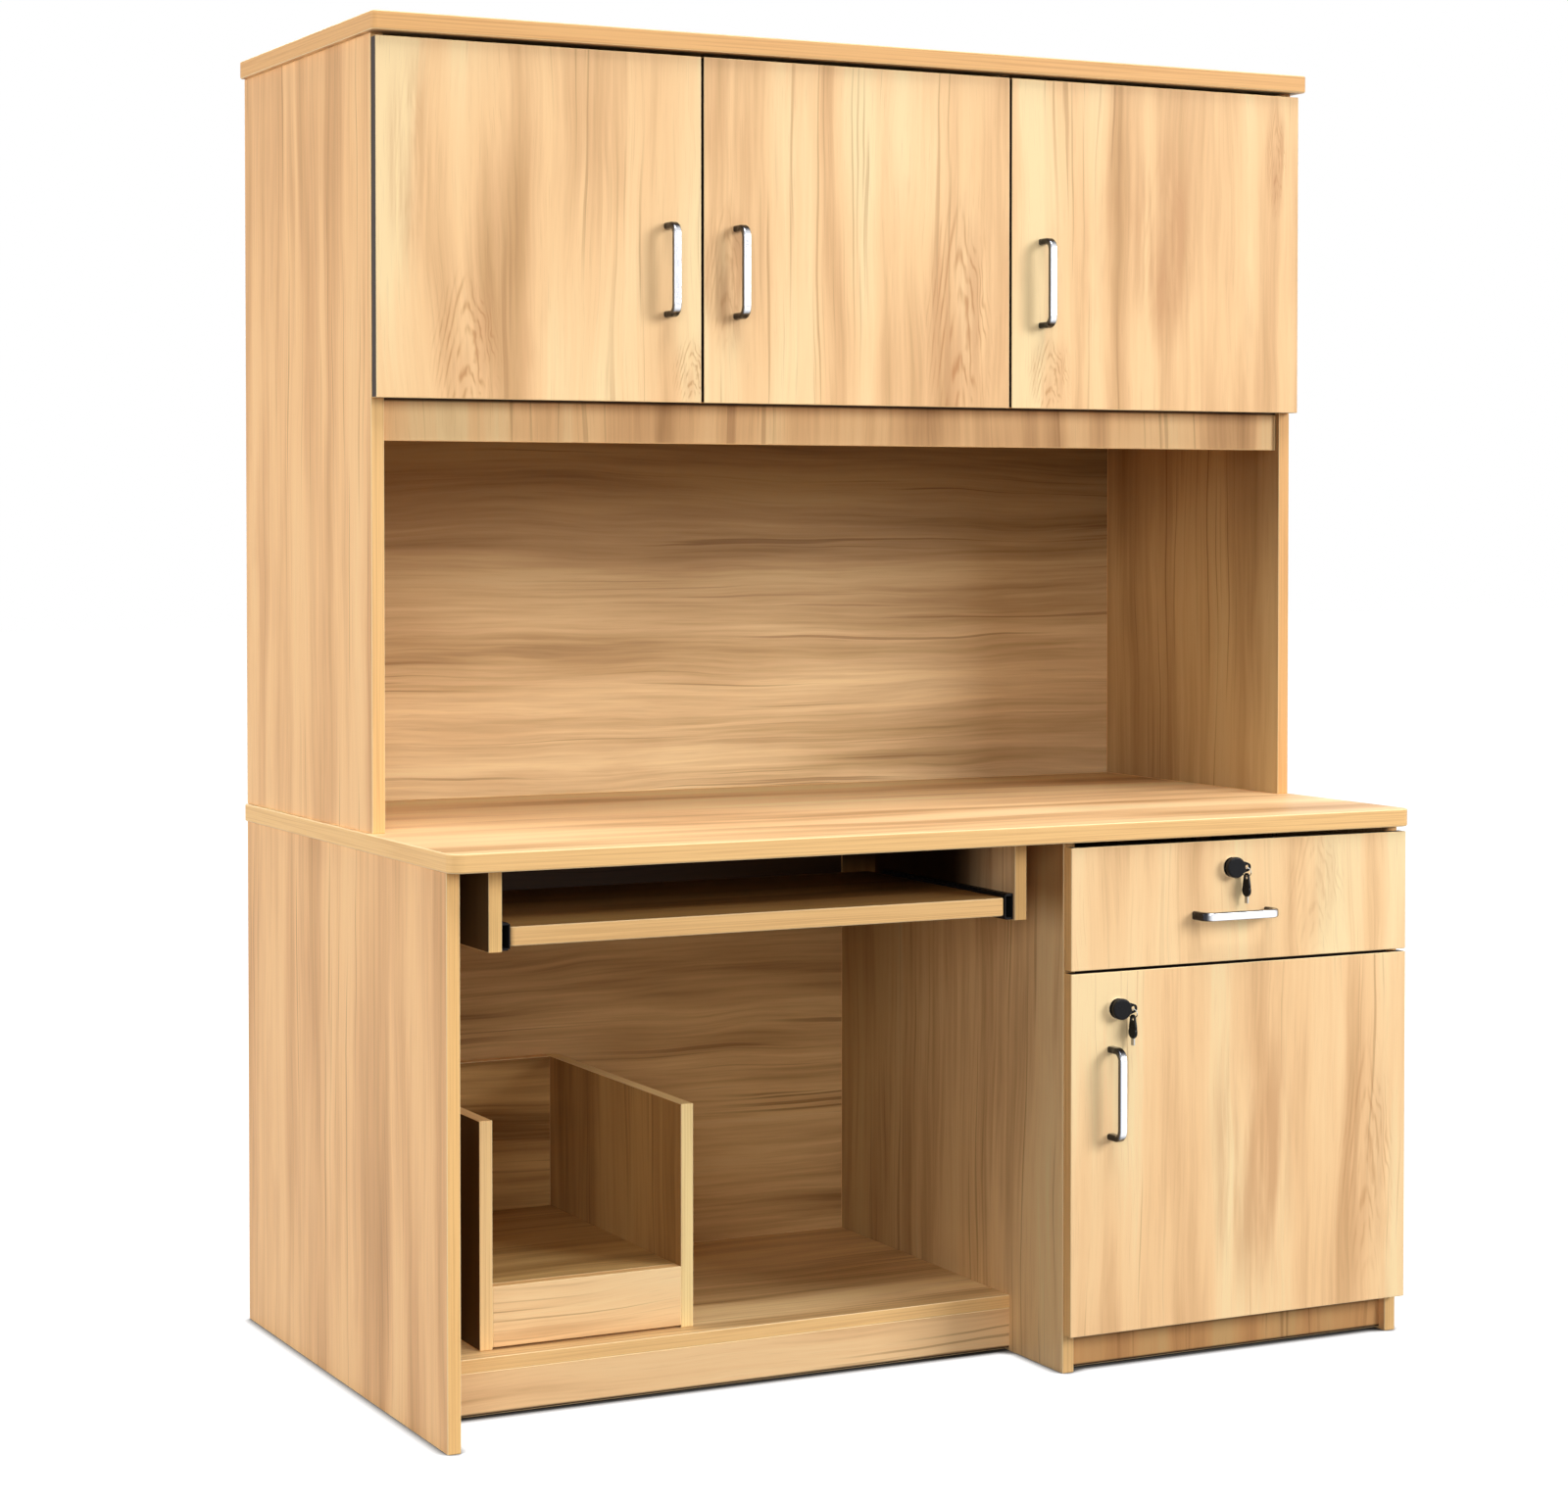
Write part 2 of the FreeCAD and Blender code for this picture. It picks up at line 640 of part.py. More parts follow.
def drawer():
    """Front, grooved box, slides with a middle member, handle and lock."""
    face_y = front_y - fronts_depth
    back_y = front_y - door_standoff
    lock_x = (partition_out + right_out) / 2 + drawer_pull_offset
    hole = cam_lock("drawer", lock_x, drawer_front_top - drawer_lock_drop, face_y)
    front = panel(partition_out, right_out, face_y, back_y, drawer_front_bottom, drawer_front_top)
    add("drawer_front", front.cut(hole))
    add("drawer_handle", pull(FreeCAD.Vector(lock_x, face_y, drawer_front_top - drawer_handle_drop), False))

    box_left = partition_in + slide_thickness
    box_right = right_in - slide_thickness
    inner_left = box_left + drawer_board
    inner_right = box_right - drawer_board
    end_y = back_y + drawer_slide_length
    z0 = divider_top + drawer_box_clearance
    z1 = z0 + drawer_box_height
    bottom_z = z0 + drawer_bottom_lift
    bottom = block(inner_left - drawer_groove, inner_right + drawer_groove,
                   back_y + drawer_board - drawer_groove, end_y - drawer_board + drawer_groove,
                   bottom_z, bottom_z + drawer_bottom_board)
    add("drawer_bottom", bottom)
    add("drawer_left_side", panel(box_left, inner_left, back_y, end_y, z0, z1).cut(bottom))
    add("drawer_right_side", panel(inner_right, box_right, back_y, end_y, z0, z1).cut(bottom))
    box_front = panel(inner_left, inner_right, back_y, back_y + drawer_board, z0, z1)
    add("drawer_box_front", box_front.cut(bottom))
    add("drawer_back", panel(inner_left, inner_right, end_y - drawer_board, end_y, z0, z1).cut(bottom))

    slide_y = front_y
    slide_z = z0 + drawer_slide_lift
    half = drawer_slide_height / 2
    step = slide_wall + slide_run
    deep = partition_in + slide_channel_depth
    length = drawer_slide_length - door_standoff
    outer = channel(partition_in, deep, half, slide_y, length, slide_z, True)
    middle = channel(partition_in + step, deep, half - step, slide_y, length, slide_z, True)
    inner = channel(partition_in + 2 * step, box_left, half - 2 * step, slide_y, length, slide_z, False)
    for name, member in (("outers", outer), ("middles", middle), ("inners", inner)):
        add("drawer_slide_" + name, member, mirrored(member, pedestal_middle_x))


def pedestal_door():
    """Locked cupboard door below the drawer, hung on the right side."""
    face_y = front_y - fronts_depth
    hole = cam_lock("door", partition_out + door_lock_inset, pedestal_door_top - door_lock_drop, face_y)
    door("pedestal_door", partition_out, right_out, pedestal_door_bottom, pedestal_door_top,
         front_y, True, board, [hole])
    centre = FreeCAD.Vector(partition_out + pedestal_handle_inset, face_y,
                            pedestal_door_top - pedestal_handle_drop)
    add("pedestal_door_handle", pull(centre, True))


# Hutch

def hutch():
    """Sides, partition, floor, rail, back and top of the overhead cupboard."""
    add("hutch_left_side", panel(left_out, left_in, hutch_front_y, rear_y, desk_height, top_under))
    add("hutch_right_side", panel(right_in, right_out, hutch_front_y, rear_y, desk_height, top_under))
    add("hutch_floor", panel(left_in, right_in, hutch_front_y, back_front_y,
                             hutch_floor_under, hutch_floor_under + board))
    rail_y = hutch_front_y + hutch_rail_setback
    add("hutch_rail", panel(left_in, right_in, rail_y, rail_y + board,
                            hutch_floor_under - hutch_rail_height, hutch_floor_under))
    add("hutch_partition", panel(hutch_partition_x - board / 2, hutch_partition_x + board / 2,
                                 hutch_front_y, back_front_y, hutch_floor_under + board, top_under))
    add("hutch_back", panel(left_in, right_in, back_front_y, back_front_y + board, desk_height, top_under))
    add("hutch_top", top_panel(left_out - top_side_overhang, right_out + top_side_overhang,
                               hutch_front_y - top_front_overhang, rear_y, top_under, overall_height,
                               top_corner_radius))


def hutch_doors():
    """Three doors: the left one hung on its left, the other two on their right."""
    face_y = hutch_front_y - fronts_depth
    handle_z = hutch_door_top - hutch_handle_drop
    half_overlay = (board - front_gap) / 2
    for name, x0, x1, hung_right, overlay in (
            ("left", left_out, left_out + left_door_width, False, board),
            ("middle", middle_door_left, middle_door_left + middle_door_width, True, half_overlay),
            ("right", right_door_left, right_out, True, board)):
        door(name + "_door", x0, x1, hutch_door_bottom, hutch_door_top, hutch_front_y, hung_right, overlay)
        handle_x = x0 + hutch_handle_inset if hung_right else x1 - hutch_handle_inset
        add(name + "_door_handle", pull(FreeCAD.Vector(handle_x, face_y, handle_z), True))


desk_carcass()
computer_stand()
keyboard_shelf()
drawer()
pedestal_door()
hutch()
hutch_doors()
add("hinge_arms", *hinge_arms)
add("hinge_plates", *hinge_plates)

os.makedirs("parts", exist_ok=True)
for node_name, shape in nodes.items():
    shape.exportStep("parts/" + node_name + ".step")
print(len(nodes), "nodes,", sum(len(s.Solids) for s in nodes.values()), "solids")
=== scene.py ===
# %% [markdown]
# # Dressing a computer cabinet
# The cabinet is a desk with a hutch, built from laminated boards. The solids give every board,
# hinge, slide and lock its shape and place. This lesson only gives them their finish, adds the
# small screws that hold the fittings, and sets up a plain studio to look at the result.

# %% Load the solids and keep their box
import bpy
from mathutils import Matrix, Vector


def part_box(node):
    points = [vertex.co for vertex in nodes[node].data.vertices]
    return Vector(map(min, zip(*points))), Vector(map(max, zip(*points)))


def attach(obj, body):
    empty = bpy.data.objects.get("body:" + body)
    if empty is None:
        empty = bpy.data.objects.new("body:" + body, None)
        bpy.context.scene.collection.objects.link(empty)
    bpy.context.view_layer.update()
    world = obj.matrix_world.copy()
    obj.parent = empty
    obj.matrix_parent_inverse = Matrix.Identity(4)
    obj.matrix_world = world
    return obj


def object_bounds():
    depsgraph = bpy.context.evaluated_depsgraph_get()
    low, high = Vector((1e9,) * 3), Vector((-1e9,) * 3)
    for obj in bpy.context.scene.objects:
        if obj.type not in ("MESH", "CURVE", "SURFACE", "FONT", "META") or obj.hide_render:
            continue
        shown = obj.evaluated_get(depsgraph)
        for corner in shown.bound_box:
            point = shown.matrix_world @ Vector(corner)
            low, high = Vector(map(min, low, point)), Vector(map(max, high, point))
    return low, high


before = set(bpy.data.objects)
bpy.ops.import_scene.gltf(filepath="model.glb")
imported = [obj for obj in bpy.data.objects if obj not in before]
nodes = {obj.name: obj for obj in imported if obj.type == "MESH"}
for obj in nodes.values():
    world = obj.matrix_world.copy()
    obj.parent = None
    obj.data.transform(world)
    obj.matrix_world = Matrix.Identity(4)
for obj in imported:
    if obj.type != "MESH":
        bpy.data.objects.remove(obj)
solids_low, solids_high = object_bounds()
print(len(nodes), "solids loaded, reaching from", list(solids_low), "to", list(solids_high))

# %% [markdown]
# ## Camera
# The viewer stands in front and to the left, a little above the desktop. Upright edges stay
# nearly parallel, as with a view camera: the lens looks almost level and the picture is shifted
# down instead of tilting the camera. A tilted camera alone would make the sides lean together.

# %% Place the camera
import bpy
from math import radians

scene = bpy.context.scene
picture_width_px = 1600.0
focal_length_px = 3429.5
horizon_above_middle_px = 146.7
standpoint = (-2.2090, -4.2573, 1.1616)
turn_right = radians(26.686)
look_down = radians(1.5)
level = radians(90.0)

lens = bpy.data.cameras.new("front_left_view")
lens.lens = focal_length_px * lens.sensor_width / picture_width_px
lens.shift_y = -horizon_above_middle_px / picture_width_px
camera = bpy.data.objects.new("front_left_view", lens)
camera.location = standpoint
camera.rotation_euler = (level - look_down, 0.0, -turn_right)
scene.collection.objects.link(camera)
scene.camera = camera
print("lens", round(lens.lens, 2), "mm, shift", round(lens.shift_y, 4))

# %% [markdown]
# ## Wiring shader nodes
# A finish is a small network of nodes. A few short helpers keep the recipes readable: one places
# a node and wires whatever it is given, others do arithmetic, mix colours and read noise. Writing
# each node out by hand would hide the recipe behind the wiring.

# %% Helpers that place nodes
X, Y, Z = 0, 1, 2


def put(tree, kind, inputs=None, **settings):
    """Add a node; an input given as a socket is wired, any other value is set."""
    node = tree.nodes.new("ShaderNode" + kind)
    for name, value in settings.items():
        setattr(node, name, value)
    for name, value in (inputs or {}).items():
        if isinstance(value, bpy.types.NodeSocket):
            tree.links.new(value, node.inputs[name])
        else:
            node.inputs[name].default_value = value
    return node


def maths(tree, operation, *values):
    """One arithmetic step on numbers or sockets."""
    return put(tree, "Math", dict(enumerate(values)), operation=operation).outputs[0]


def mix_colour(tree, share, below, above, how="MIX"):
    """Lay one colour over another by a share from 0 to 1."""
    node = put(tree, "Mix", {0: share, 6: below, 7: above}, data_type="RGBA", blend_type=how)
    return node.outputs[2]


def smooth_step(tree, value, start, end):
    """0 before start, 1 after end, and a soft change between them."""
    inputs = {"Value": value, "From Min": start, "From Max": end}
    return put(tree, "MapRange", inputs, interpolation_type="SMOOTHSTEP").outputs[0]


def between(tree, value, low, high):
    """A value from 0 to 1, moved to lie between low and high."""
    return put(tree, "MapRange", {"Value": value, "To Min": low, "To Max": high}).outputs[0]


def noise(tree, vector, repeats, detail=2.0, roughness=0.5):
    """Cloudy noise; repeats says how tightly it changes along each axis."""
    place = put(tree, "VectorMath", {0: vector, 1: repeats}, operation="MULTIPLY").outputs[0]
    inputs = {"Vector": place, "Scale": 1.0, "Detail": detail, "Roughness": roughness}
    return put(tree, "TexNoise", inputs).outputs["Fac"]


def new_material(name):
    """An empty node material; the caller wires the surface."""
    material = bpy.data.materials.new(name)
    material.use_nodes = True
    material.node_tree.nodes.clear()
    return material


print("node helpers ready")

# %% [markdown]
# ## Studio
# The picture shows the cabinet on pure white with only a breath of shadow at its feet. The floor
# and the world are white to the camera, and to mirrors and glass, but give plain light to
# everything else, so the white never comes from over-lighting the wood.

# %% Rays that should see white
def seen_directly(tree):
    """1 for rays from the camera, from a mirror or through glass, 0 for all others."""
    path = put(tree, "LightPath").outputs
    either = maths(tree, "MAXIMUM", path["Is Camera Ray"], path["Is Glossy Ray"])
    return maths(tree, "MAXIMUM", either, path["Is Transmission Ray"])


def mixed_by_sight(tree, unseen, seen, kind):
    """One shader for light, another for sight, wired to the tree's output."""
    shaders = {0: seen_directly(tree), 1: unseen.outputs[0], 2: seen.outputs[0]}
    mixed = put(tree, "MixShader", shaders)
    put(tree, "Output" + kind, {"Surface": mixed.outputs[0]})


white = (1.0, 1.0, 1.0, 1.0)
sky_strength = 0.10
world = bpy.data.worlds.new("soft_studio")
world.use_nodes = True
world.node_tree.nodes.clear()
sky_light = put(world.node_tree, "Background", {"Color": white, "Strength": sky_strength})
sky_sight = put(world.node_tree, "Background", {"Color": white, "Strength": 1.0})
mixed_by_sight(world.node_tree, sky_light, sky_sight, "World")
scene.world = world
scene.view_settings.view_transform = "Standard"
print("world lights at", sky_strength)

# %% Pale floor that keeps a soft shadow
import bmesh

floor_half = 30.0
floor_grey = (0.20, 0.20, 0.20, 1.0)
shadow_reach = 0.025
shadow_full, shadow_gone = 0.40, 0.95
floor_mesh = bpy.data.meshes.new("floor")
floor_sheet = bmesh.new()
bmesh.ops.create_grid(floor_sheet, x_segments=1, y_segments=1, size=floor_half)
floor_sheet.to_mesh(floor_mesh)
floor_sheet.free()
floor = bpy.data.objects.new("floor", floor_mesh)
scene.collection.objects.link(floor)

floor_white = new_material("floor_white")
floor_tree = floor_white.node_tree
floor_light = put(floor_tree, "BsdfDiffuse", {"Color": floor_grey})
shadow_catcher = put(floor_tree, "BsdfDiffuse", {"Color": floor_grey})
open_above = put(floor_tree, "AmbientOcclusion", {"Distance": shadow_reach}).outputs["AO"]
uncovered = smooth_step(floor_tree, open_above, shadow_full, shadow_gone)
floor_glow = put(floor_tree, "Emission", {"Color": white, "Strength": uncovered})
floor_shaders = {0: shadow_catcher.outputs[0], 1: floor_glow.outputs[0]}
floor_sight = put(floor_tree, "AddShader", floor_shaders)
mixed_by_sight(floor_tree, floor_light, floor_sight, "Material")
floor_mesh.materials.append(floor_white)
print("floor of", 2 * floor_half, "m")

# %% Large soft lamps
from math import cos, sin
from mathutils import Vector

cabinet_middle = (solids_low + solids_high) / 2


def soft_lamp(name, bearing, rise, distance, side, power):
    """A square softbox that faces the cabinet; bearing 0 is in front, 90 on the right."""
    lamp = bpy.data.lights.new(name, "AREA")
    lamp.size = side
    lamp.energy = power
    softbox = bpy.data.objects.new(name, lamp)
    level_reach = distance * cos(radians(rise))
    away = Vector((level_reach * sin(radians(bearing)), -level_reach * cos(radians(bearing)),
                   distance * sin(radians(rise))))
    softbox.location = cabinet_middle + away
    softbox.rotation_euler = away.to_track_quat("Z", "Y").to_euler()
    softbox.visible_camera = False
    scene.collection.objects.link(softbox)
    print(name, "stands at", [round(value, 2) for value in softbox.location])


soft_lamp("key_right", bearing=40.0, rise=18.0, distance=10.0, side=4.0, power=600.0)
soft_lamp("top_light", bearing=0.0, rise=73.0, distance=14.0, side=7.5, power=1580.0)
soft_lamp("fill_left", bearing=-98.0, rise=12.0, distance=6.7, side=3.0, power=225.0)
soft_lamp("fill_front", bearing=-30.0, rise=11.0, distance=9.5, side=4.0, power=185.0)
soft_lamp("fill_back", bearing=170.0, rise=30.0, distance=8.0, side=4.0, power=330.0)

# %% [markdown]
# ## Laminated board
# Every board is particle board with a printed beech skin: a honey ground, broad cream and tan
# bands, brown smudges and fine dark lines along the grain. One node group draws that print from
# a place on the sheet, so each board can be cut from its own spot. Stretched noise is used
# rather than a wave texture, because a print of real veneer has no regular rings.

# %% Wandering grain
def new_group(name, inputs, outputs):
    """An empty node group; both lists name each socket and its kind."""
    group = bpy.data.node_groups.new(name, "ShaderNodeTree")
    for way, sockets in (("INPUT", inputs), ("OUTPUT", outputs)):
        for socket, kind in sockets.items():
            group.interface.new_socket(socket, in_out=way, socket_type="NodeSocket" + kind)
    return group


beech = new_group("beech_print",
                  {"Place": "Vector", "Middle": "Float", "Bands": "Float", "Fibre": "Float",
                   "Veins": "Float"},
                  {"Colour": "Color", "Roughness": "Float", "Height": "Float"})
asked = beech.nodes.new("NodeGroupInput").outputs


def wander_by(repeats, strength):
    """Noise about zero, as a sideways shift in metres."""
    shift = maths(beech, "SUBTRACT", noise(beech, asked["Place"], repeats), 0.5)
    return maths(beech, "MULTIPLY", shift, strength)


slow_wander = wander_by((6.0, 6.0, 1.6), 0.060)
quick_wander = wander_by((24.0, 24.0, 6.0), 0.008)
wander = maths(beech, "ADD", slow_wander, quick_wander)
sideways = put(beech, "CombineXYZ", {X: wander}).outputs[0]
grain = put(beech, "VectorMath", {0: asked["Place"], 1: sideways}, operation="ADD").outputs[0]

cloud = noise(beech, grain, (6.0, 6.0, 1.7))
broad_band = noise(beech, grain, (14.0, 14.0, 0.8), detail=1.0)
narrow_band = noise(beech, grain, (45.0, 45.0, 2.0))
blotch = noise(beech, grain, (11.0, 11.0, 2.4), detail=4.0, roughness=0.6)
streak = noise(beech, grain, (150.0, 150.0, 4.5), detail=3.0, roughness=0.55)
vein = noise(beech, grain, (150.0, 150.0, 1.5), detail=1.0)
vein_patch = noise(beech, grain, (12.0, 12.0, 1.7), detail=1.0)
pore = noise(beech, grain, (950.0, 950.0, 16.0), detail=1.0)
print("grain patterns read at a wandering place")

# %% Tones of the print
# Every tone of the print lies on one run of colours, from heart brown to cream.
tones = ((0.0, (0.33, 0.165, 0.062, 1.0)), (0.25, (0.62, 0.360, 0.165, 1.0)),
         (0.45, (0.80, 0.490, 0.245, 1.0)), (0.62, (0.94, 0.610, 0.315, 1.0)),
         (0.80, (0.98, 0.668, 0.357, 1.0)), (1.0, (0.99, 0.750, 0.420, 1.0)))
# Broad patterns are soft bands, fine ones are fibre; a board sets how strong each is.
patterns = ((cloud, 0.55, "Bands"), (broad_band, 0.80, "Bands"), (narrow_band, 0.45, "Fibre"),
            (streak, 0.38, "Fibre"))
tone = asked["Middle"]
for pattern, strength, kind in patterns:
    above_middle = maths(beech, "MULTIPLY", maths(beech, "SUBTRACT", pattern, 0.5), strength)
    tone = maths(beech, "MULTIPLY_ADD", above_middle, asked[kind], tone)
ramp = put(beech, "ValToRGB", {"Fac": tone})
stops = ramp.color_ramp.elements
while len(stops) < len(tones):
    stops.new(1.0)
for stop, (spot, colour) in zip(stops, tones):
    stop.position = spot
    stop.color = colour
print("print runs through", len(stops), "tones")

# %% Smudges, veins and pores over the tones
heart_brown = (0.63, 0.335, 0.155, 1.0)
vein_brown = (0.34, 0.155, 0.055, 1.0)


def lay_over(below, above, pattern, start, end, strength):
    """Lay a colour over the ground where a pattern passes from start to end."""
    share = maths(beech, "MULTIPLY", smooth_step(beech, pattern, start, end), strength)
    return mix_colour(beech, share, below, above)


ground = lay_over(ramp.outputs["Color"], heart_brown, blotch, start=0.54, end=0.82, strength=0.45)
fine_lines = smooth_step(beech, vein, start=0.61, end=0.70)
lined_patches = smooth_step(beech, vein_patch, start=0.42, end=0.60)
veins = maths(beech, "MULTIPLY", fine_lines, lined_patches)
ground = mix_colour(beech, maths(beech, "MULTIPLY", veins, asked["Veins"]), ground, vein_brown)
ground = lay_over(ground, vein_brown, pore, start=0.60, end=0.72, strength=0.12)

print_out = beech.nodes.new("NodeGroupOutput").inputs
relief = maths(beech, "SUBTRACT", 1.0, maths(beech, "ADD", pore, veins))
beech.links.new(ground, print_out["Colour"])
beech.links.new(between(beech, streak, low=0.38, high=0.54), print_out["Roughness"])
beech.links.new(relief, print_out["Height"])
print("beech print with", len(beech.nodes), "nodes")

# %% [markdown]
# ## Flame figure
# Where a trunk is cut flat, the rings show as nested arches, and darker heartwood as a soft
# smudge. The fronts carry a few of these. An arch is a level line of height plus distance from
# the middle, and noise bends the line and breaks it, as worn ink would.

# %% Nested arches around a centre
flame = new_group("flame_figure", {"From centre": "Vector"}, {"Lines": "Float", "Shade": "Float"})
offset = flame.nodes.new("NodeGroupInput").outputs["From centre"]
sway = 0.6
arch_power, arch_drop = 1.5, 2.4
ring_step, line_start = 0.15, 0.06

wobble = maths(flame, "SUBTRACT", noise(flame, offset, (1.5, 1.5, 1.2), detail=3.0), 0.5)
apart = put(flame, "SeparateXYZ", {0: offset}).outputs
aside = maths(flame, "ABSOLUTE", maths(flame, "MULTIPLY_ADD", wobble, sway, apart[X]))
bent = maths(flame, "POWER", aside, arch_power)
arch = maths(flame, "MULTIPLY_ADD", bent, arch_drop, apart[Z])
ring = maths(flame, "PINGPONG", maths(flame, "ADD", arch, wobble), ring_step)
reach = put(flame, "VectorMath", {0: offset}, operation="LENGTH").outputs["Value"]
within = smooth_step(flame, reach, start=1.0, end=0.40)
worn = smooth_step(flame, noise(flame, offset, (6.0, 6.0, 2.2)), start=0.36, end=0.60)
long_fibre = noise(flame, offset, (4.0, 4.0, 0.8), detail=4.0)
fibrous = smooth_step(flame, long_fibre, start=0.34, end=0.64)
inked = maths(flame, "MULTIPLY", smooth_step(flame, ring, line_start, ring_step), worn)
flame_out = flame.nodes.new("NodeGroupOutput").inputs
flame.links.new(maths(flame, "MULTIPLY", inked, within), flame_out["Lines"])
flame.links.new(maths(flame, "MULTIPLY", fibrous, within), flame_out["Shade"])
print("flame figure with", len(flame.nodes), "nodes")

# %% Where the fronts carry a figure
# Shares of the front: centre across, centre up, half width, half height; then lines and shade.
figures = {
    "left_door": ((0.27, 0.15, 0.13, 0.26, 0.70, 0.35), (0.10, 0.66, 0.09, 0.40, 0.10, 0.45),
                  (0.97, 0.09, 0.08, 0.12, 0.60, 0.35)),
    "middle_door": ((0.83, 0.26, 0.14, 0.46, 0.75, 0.60), (0.07, 0.38, 0.10, 0.26, 0.35, 0.65)),
    "right_door": ((0.13, 0.10, 0.09, 0.15, 0.60, 0.35), (0.92, 0.80, 0.05, 0.22, 0.55, 0.70),
                   (0.52, 0.52, 0.15, 0.40, 0.10, 0.75)),
    "drawer_front": ((0.72, 0.60, 0.12, 0.70, 0.22, 0.25),),
    "pedestal_door": ((0.53, 0.46, 0.16, 0.50, 0.0, 0.70), (0.88, 0.42, 0.11, 0.42, 0.45, 0.35)),
}
arch_brown = (0.52, 0.235, 0.085, 1.0)
any_depth = 10.0


def drawn_figure(tree, turned, board, figure, colour):
    """Lay one flame figure over the colour of an upright front."""
    low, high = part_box(board)
    size = high - low
    across, up, half_across, half_up, lines, shade = figure
    centre = (low.x + across * size.x, 0.0, low.z + up * size.z)
    half = (half_across * size.x, any_depth, half_up * size.z)
    away = put(tree, "VectorMath", {0: turned, 1: centre}, operation="SUBTRACT").outputs[0]
    scaled = put(tree, "VectorMath", {0: away, 1: half}, operation="DIVIDE").outputs[0]
    drawn = put(tree, "Group", {0: scaled}, node_tree=flame).outputs
    shaded = maths(tree, "MULTIPLY", drawn["Shade"], shade)
    lined = maths(tree, "MULTIPLY", drawn["Lines"], lines)
    return mix_colour(tree, lined, mix_colour(tree, shaded, colour, heart_brown), arch_brown)


print(sum(len(each) for each in figures.values()), "figures placed")

# %% [markdown]
# ## Board edges
# The cut edges are closed with a honey strip about as thick as a coin. A few boards whose edge
# shows have a honey of their own, paler or darker; the paler strips on the stand walls are painted
# light. Edges that meet another front are painted dark, a painted shadow for the gaps between the
# fronts, so those gaps read as thin dark lines. The normal tells one edge from another, so the
# strip can be part of the board's one material.

# %% Strips on the edges
honey_strip = (0.93, 0.585, 0.25, 1.0)
# Each board's own strip colour; the paler strips on the stand walls are painted light.
own_strips_and_painted_light = {
    "hutch_top": (0.82, 0.465, 0.188, 1.0), "hutch_right_side": (0.84, 0.470, 0.187, 1.0),
    "base_left_side": (0.99, 0.605, 0.242, 1.0), "keyboard_tray": (0.99, 0.620, 0.265, 1.0),
    "keyboard_hanger_left": (0.99, 0.640, 0.260, 1.0),
    "keyboard_hanger_right": (0.70, 0.420, 0.160, 1.0),
    "stand_left_wall": (0.99, 0.700, 0.340, 1.0), "stand_right_wall": (0.99, 0.755, 0.360, 1.0),
}
streak_depth = (0.88, 0.83, 0.80, 1.0)
strip_repeats = (4.0, 500.0, 4.0)
# Painted shadow colour for edges that meet another front across a gap.
painted_gap_shadow = (0.030, 0.016, 0.009, 1.0)
low_face, high_face = -1.0, 1.0
left_edge, right_edge, front_edge = (X, low_face), (X, high_face), (Y, low_face)
under_edge, upper_edge = (Z, low_face), (Z, high_face)
# Edges that get the painted gap shadow.
edges_with_painted_shadow = {
    "left_door": (left_edge, right_edge, under_edge, upper_edge),
    "middle_door": (left_edge, right_edge, under_edge, upper_edge),
    "right_door": (left_edge, under_edge, upper_edge),
    "pedestal_door": (under_edge, upper_edge), "drawer_front": (under_edge, upper_edge),
    "pedestal_divider": (front_edge,), "hutch_partition": (front_edge,),
}
squarely = (0.80, 0.95)


def edge_strip(tree, board, spot, facing):
    """Streaky honey banding, with a painted shadow where the edge meets another front."""
    banding = own_strips_and_painted_light.get(board, honey_strip)
    streaks = tuple(part * deeper for part, deeper in zip(banding, streak_depth))
    streaky = smooth_step(tree, noise(tree, spot, strip_repeats), start=0.42, end=0.68)
    strip = mix_colour(tree, streaky, banding, streaks)
    for axis, side in edges_with_painted_shadow.get(board, ()):
        on_painted_gap_shadow = smooth_step(tree, maths(tree, "MULTIPLY", facing[axis], side), *squarely)
        strip = mix_colour(tree, on_painted_gap_shadow, strip, painted_gap_shadow)
    return strip


print(len(own_strips_and_painted_light), "boards have their own strip,", len(edges_with_painted_shadow), "have dark edges")

# %% [markdown]
# ## Painted shade in the recessed places
# The hutch space, the bay and the slot above the keyboard tray swallow light and look almost
# black at their ends, and thin shadow lines stand under the doors and at the foot of the plinths.
# Even studio light can't show that, so the shade is painted into the colour of the boards there.
# The painted shade follows the place on the board: it moves along with the tray and is the same
# from every side.

# %% Which faces get painted shade, and where
from collections import namedtuple

far = 10.0
PaintedShade = namedtuple("PaintedShade", "axis clear deep side clear_tint deep_tint above below",
                    defaults=(-far, far))
rail_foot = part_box("hutch_rail")[0].z
bay_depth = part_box("bay_back_panel")[0].y
tray_low, tray_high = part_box("keyboard_tray")
desk_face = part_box("desktop")[1].z
hutch_low, hutch_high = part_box("hutch_left_side")
door_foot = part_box("middle_door")[0].z
cupboard_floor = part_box("hutch_floor")[0].z
pedestal_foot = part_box("pedestal_door")[0].z
bay_plinth_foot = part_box("bay_plinth")[0].z
pedestal_plinth_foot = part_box("pedestal_plinth")[0].z
untinted = (1.0, 1.0, 1.0, 1.0)
# A painted shadow line under the doors and at the foot of the plinths.
painted_shadow_line = (0.06, 0.05, 0.04, 1.0)
